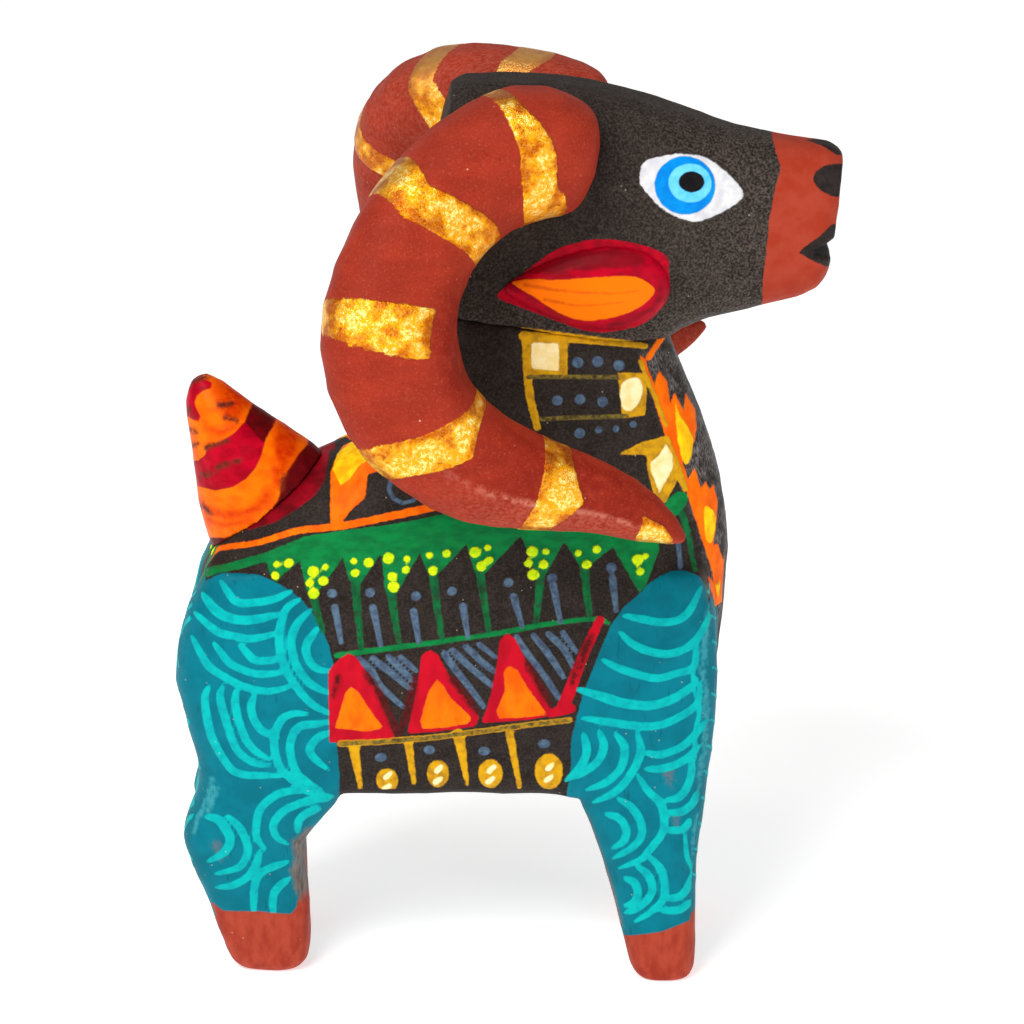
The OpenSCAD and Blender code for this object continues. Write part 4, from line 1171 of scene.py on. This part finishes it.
def make_tail():
    obj = carved_copy("tail", "carved_tail", voxel=0.17, smoothing=8)
    points = vertices(obj)
    canvas = Canvas(points[:, 0], seen_height(points, TAIL_PLANE))
    canvas.shape("orange", [
        (-30, 50), (-25.8, 50.6), (-24, 53.5), (-20.2, 50.6), (-20.9, 48.9), (-21.15, 47.9), (-22, 46.85),
        (-23.2, 46), (-24.3, 45.4), (-24.5, 44.9), (-25.1, 44.5), (-26, 44.4), (-30, 44.6),
    ])
    canvas.shape("orange", [
        (-18.5, 49), (-18.9, 47.6), (-19.3, 46.8), (-19.6, 46), (-19.9, 44.8), (-20.35, 43.8),
        (-21.1, 42.9), (-22.2, 42.2), (-23.65, 41.9), (-25.3, 42.3), (-30, 42.4), (-30, 34), (-24.2, 37.8),
        (-22.7, 37.8), (-21.2, 38.2), (-20.3, 39), (-19.1, 40), (-18.4, 41.2), (-18.1, 42.6), (-17.7, 43.6),
        (-16.9, 45), (-16.2, 45.9), (-16, 48),
    ])
    canvas.shape("crimson", [
        (-25.7, 51.5), (-24.8, 51.7), (-23.9, 51.2), (-24, 50.7), (-24.6, 50.5), (-25.1, 50.1),
        (-25.3, 49.5), (-25.1, 48.9), (-24.8, 48.3), (-25, 47.8), (-25.4, 48), (-26, 48.3), (-30, 48.4),
        (-30, 51),
    ])
    canvas.shape("crimson", [
        (-30, 44.2), (-26, 44.2), (-25.1, 44.4), (-24.5, 44.9), (-24.3, 45.4), (-23.2, 46), (-22, 46.85),
        (-21.2, 47.8), (-19.6, 46), (-19.9, 44.8), (-20.35, 43.8), (-21.1, 42.9), (-22.2, 42.2),
        (-23.65, 41.9), (-25.3, 42.3), (-30, 42.4),
    ])
    canvas.shape("crimson", [
        (-19.1, 39.2), (-18.6, 40.2), (-17.5, 41.1), (-16.2, 42.3), (-15.6, 43), (-14.8, 43.4), (-12, 43),
        (-13, 39), (-18, 37),
    ])
    canvas.shape("ember", [
        (-23.4, 51.4), (-23.5, 49.6), (-23.2, 48.6), (-22.3, 47.8), (-21.4, 48.6), (-21, 50),
    ], smooth=True)
    canvas.shape("ember", [
        (-18.6, 48), (-18.8, 45.2), (-18.9, 43), (-18.3, 42), (-17.9, 43.6), (-17.2, 45), (-17, 47),
    ], smooth=True)
    canvas.stroke("ember", [(-25.1, 41), (-24, 40), (-21.8, 39.8), (-20, 40.6), (-19.2, 41.8)], 0.5, 0.8)
    canvas.stroke("ember", [(-24.6, 39.4), (-22.6, 38.9), (-20.8, 39.4)], 0.35, 0.5)
    canvas.stroke("ember", [(-24.4, 47.4), (-23.2, 46.9), (-22.2, 47.4)], 0.5, 0.4)
    canvas.shape("dark", [
        (-26.4, 50.4), (-25.9, 50.9), (-25.1, 51.3), (-24.2, 51.5), (-23.8, 53), (-27, 53),
    ])
    for line in TAIL_SMUDGES:
        canvas.stroke("dark", line, 0.45, 0.3)
    fields = {name: canvas[name] for name in ("crimson", "orange", "ember", "dark")}
    carve(obj, depth=0.08, size=3.0, offset=31.0)
    finish_piece(obj, fields, tail_finish())
    return obj


horn_material = horn_finish()
ear_material = ear_finish()
make_body()
make_head()
make_horn("right", RIGHT_HORN, RIGHT_BANDS, -1)
make_horn("left", LEFT_HORN, LEFT_BANDS, 1)
make_ear("right")
make_ear("left")
make_tail()

wood_material = bare_wood_finish()
for node_name, node_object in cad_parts.items():
    if "peg" in node_name or "dowel" in node_name:
        node_object.data.materials.clear()
        node_object.data.materials.append(wood_material)

# ---------------------------------------------------------------- floor, light and camera


FLOOR_REACH_M = 3.0
FLOOR_GREY = 0.93
FLOOR_GLOW = 0.54  # lifts the floor to the white of a studio sweep
WORLD_LIGHT = 0.38
LAMPS_AIM_AT = (0, 0, 40)
CAMERA_AZIMUTH = math.radians(0.5)
CAMERA_DISTANCE = 400
CAMERA_AIMS_AT = (0.5, 0, 39)
LENS = 170.9
SENSOR_WIDTH = 36
CLIP_START_M = 0.01


def make_floor():
    reach = FLOOR_REACH_M
    corners = [(-reach, -reach, 0), (reach, -reach, 0), (reach, reach, 0), (-reach, reach, 0)]
    mesh = bpy.data.meshes.new("studio_floor")
    mesh.from_pydata(corners, [], [(0, 1, 2, 3)])
    floor = bpy.data.objects.new("studio_floor", mesh)
    bpy.context.scene.collection.objects.link(floor)
    material = bpy.data.materials.new("pale_floor")
    material.use_nodes = True
    shader = material.node_tree.nodes["Principled BSDF"]
    shader.inputs["Base Color"].default_value = (FLOOR_GREY, FLOOR_GREY, FLOOR_GREY, 1)
    shader.inputs["Roughness"].default_value = 0.9
    shader.inputs["Specular IOR Level"].default_value = 0.1
    shader.inputs["Emission Color"].default_value = (1, 1, 1, 1)
    shader.inputs["Emission Strength"].default_value = FLOOR_GLOW
    mesh.materials.append(material)


def aim(obj, target):
    obj.rotation_euler = (Vector(target) - obj.location).to_track_quat("-Z", "Y").to_euler()


def add_softbox(name, place, target, size, power):
    """A square soft lamp; its place, target and size are in mm."""
    lamp = bpy.data.lights.new(name, "AREA")
    lamp.size = size * MM
    lamp.energy = power
    obj = bpy.data.objects.new(name, lamp)
    bpy.context.scene.collection.objects.link(obj)
    obj.location = Vector(place) * MM
    aim(obj, Vector(target) * MM)


def make_studio():
    world = bpy.data.worlds.new("studio")
    world.use_nodes = True
    background = world.node_tree.nodes["Background"]
    background.inputs["Color"].default_value = (1, 1, 1, 1)
    background.inputs["Strength"].default_value = WORLD_LIGHT
    bpy.context.scene.world = world
    add_softbox("key", (-140, -230, 330), LAMPS_AIM_AT, size=200, power=1.25)
    add_softbox("fill", (260, -260, 120), LAMPS_AIM_AT, size=240, power=0.28)


def make_camera():
    """Looks at the right side from a little above, as in a catalogue."""
    flat = math.cos(CAMERA_ELEVATION)
    away = Vector((
        math.sin(CAMERA_AZIMUTH) * flat,
        -math.cos(CAMERA_AZIMUTH) * flat,
        math.sin(CAMERA_ELEVATION),
    ))
    target = Vector(CAMERA_AIMS_AT)
    data = bpy.data.cameras.new("camera")
    data.sensor_width = SENSOR_WIDTH
    data.lens = LENS
    data.clip_start = CLIP_START_M
    camera = bpy.data.objects.new("camera", data)
    bpy.context.scene.collection.objects.link(camera)
    camera.location = (target + away * CAMERA_DISTANCE) * MM
    aim(camera, target * MM)
    bpy.context.scene.camera = camera


make_floor()
make_studio()
make_camera()
bpy.context.scene.view_settings.view_transform = "Standard"
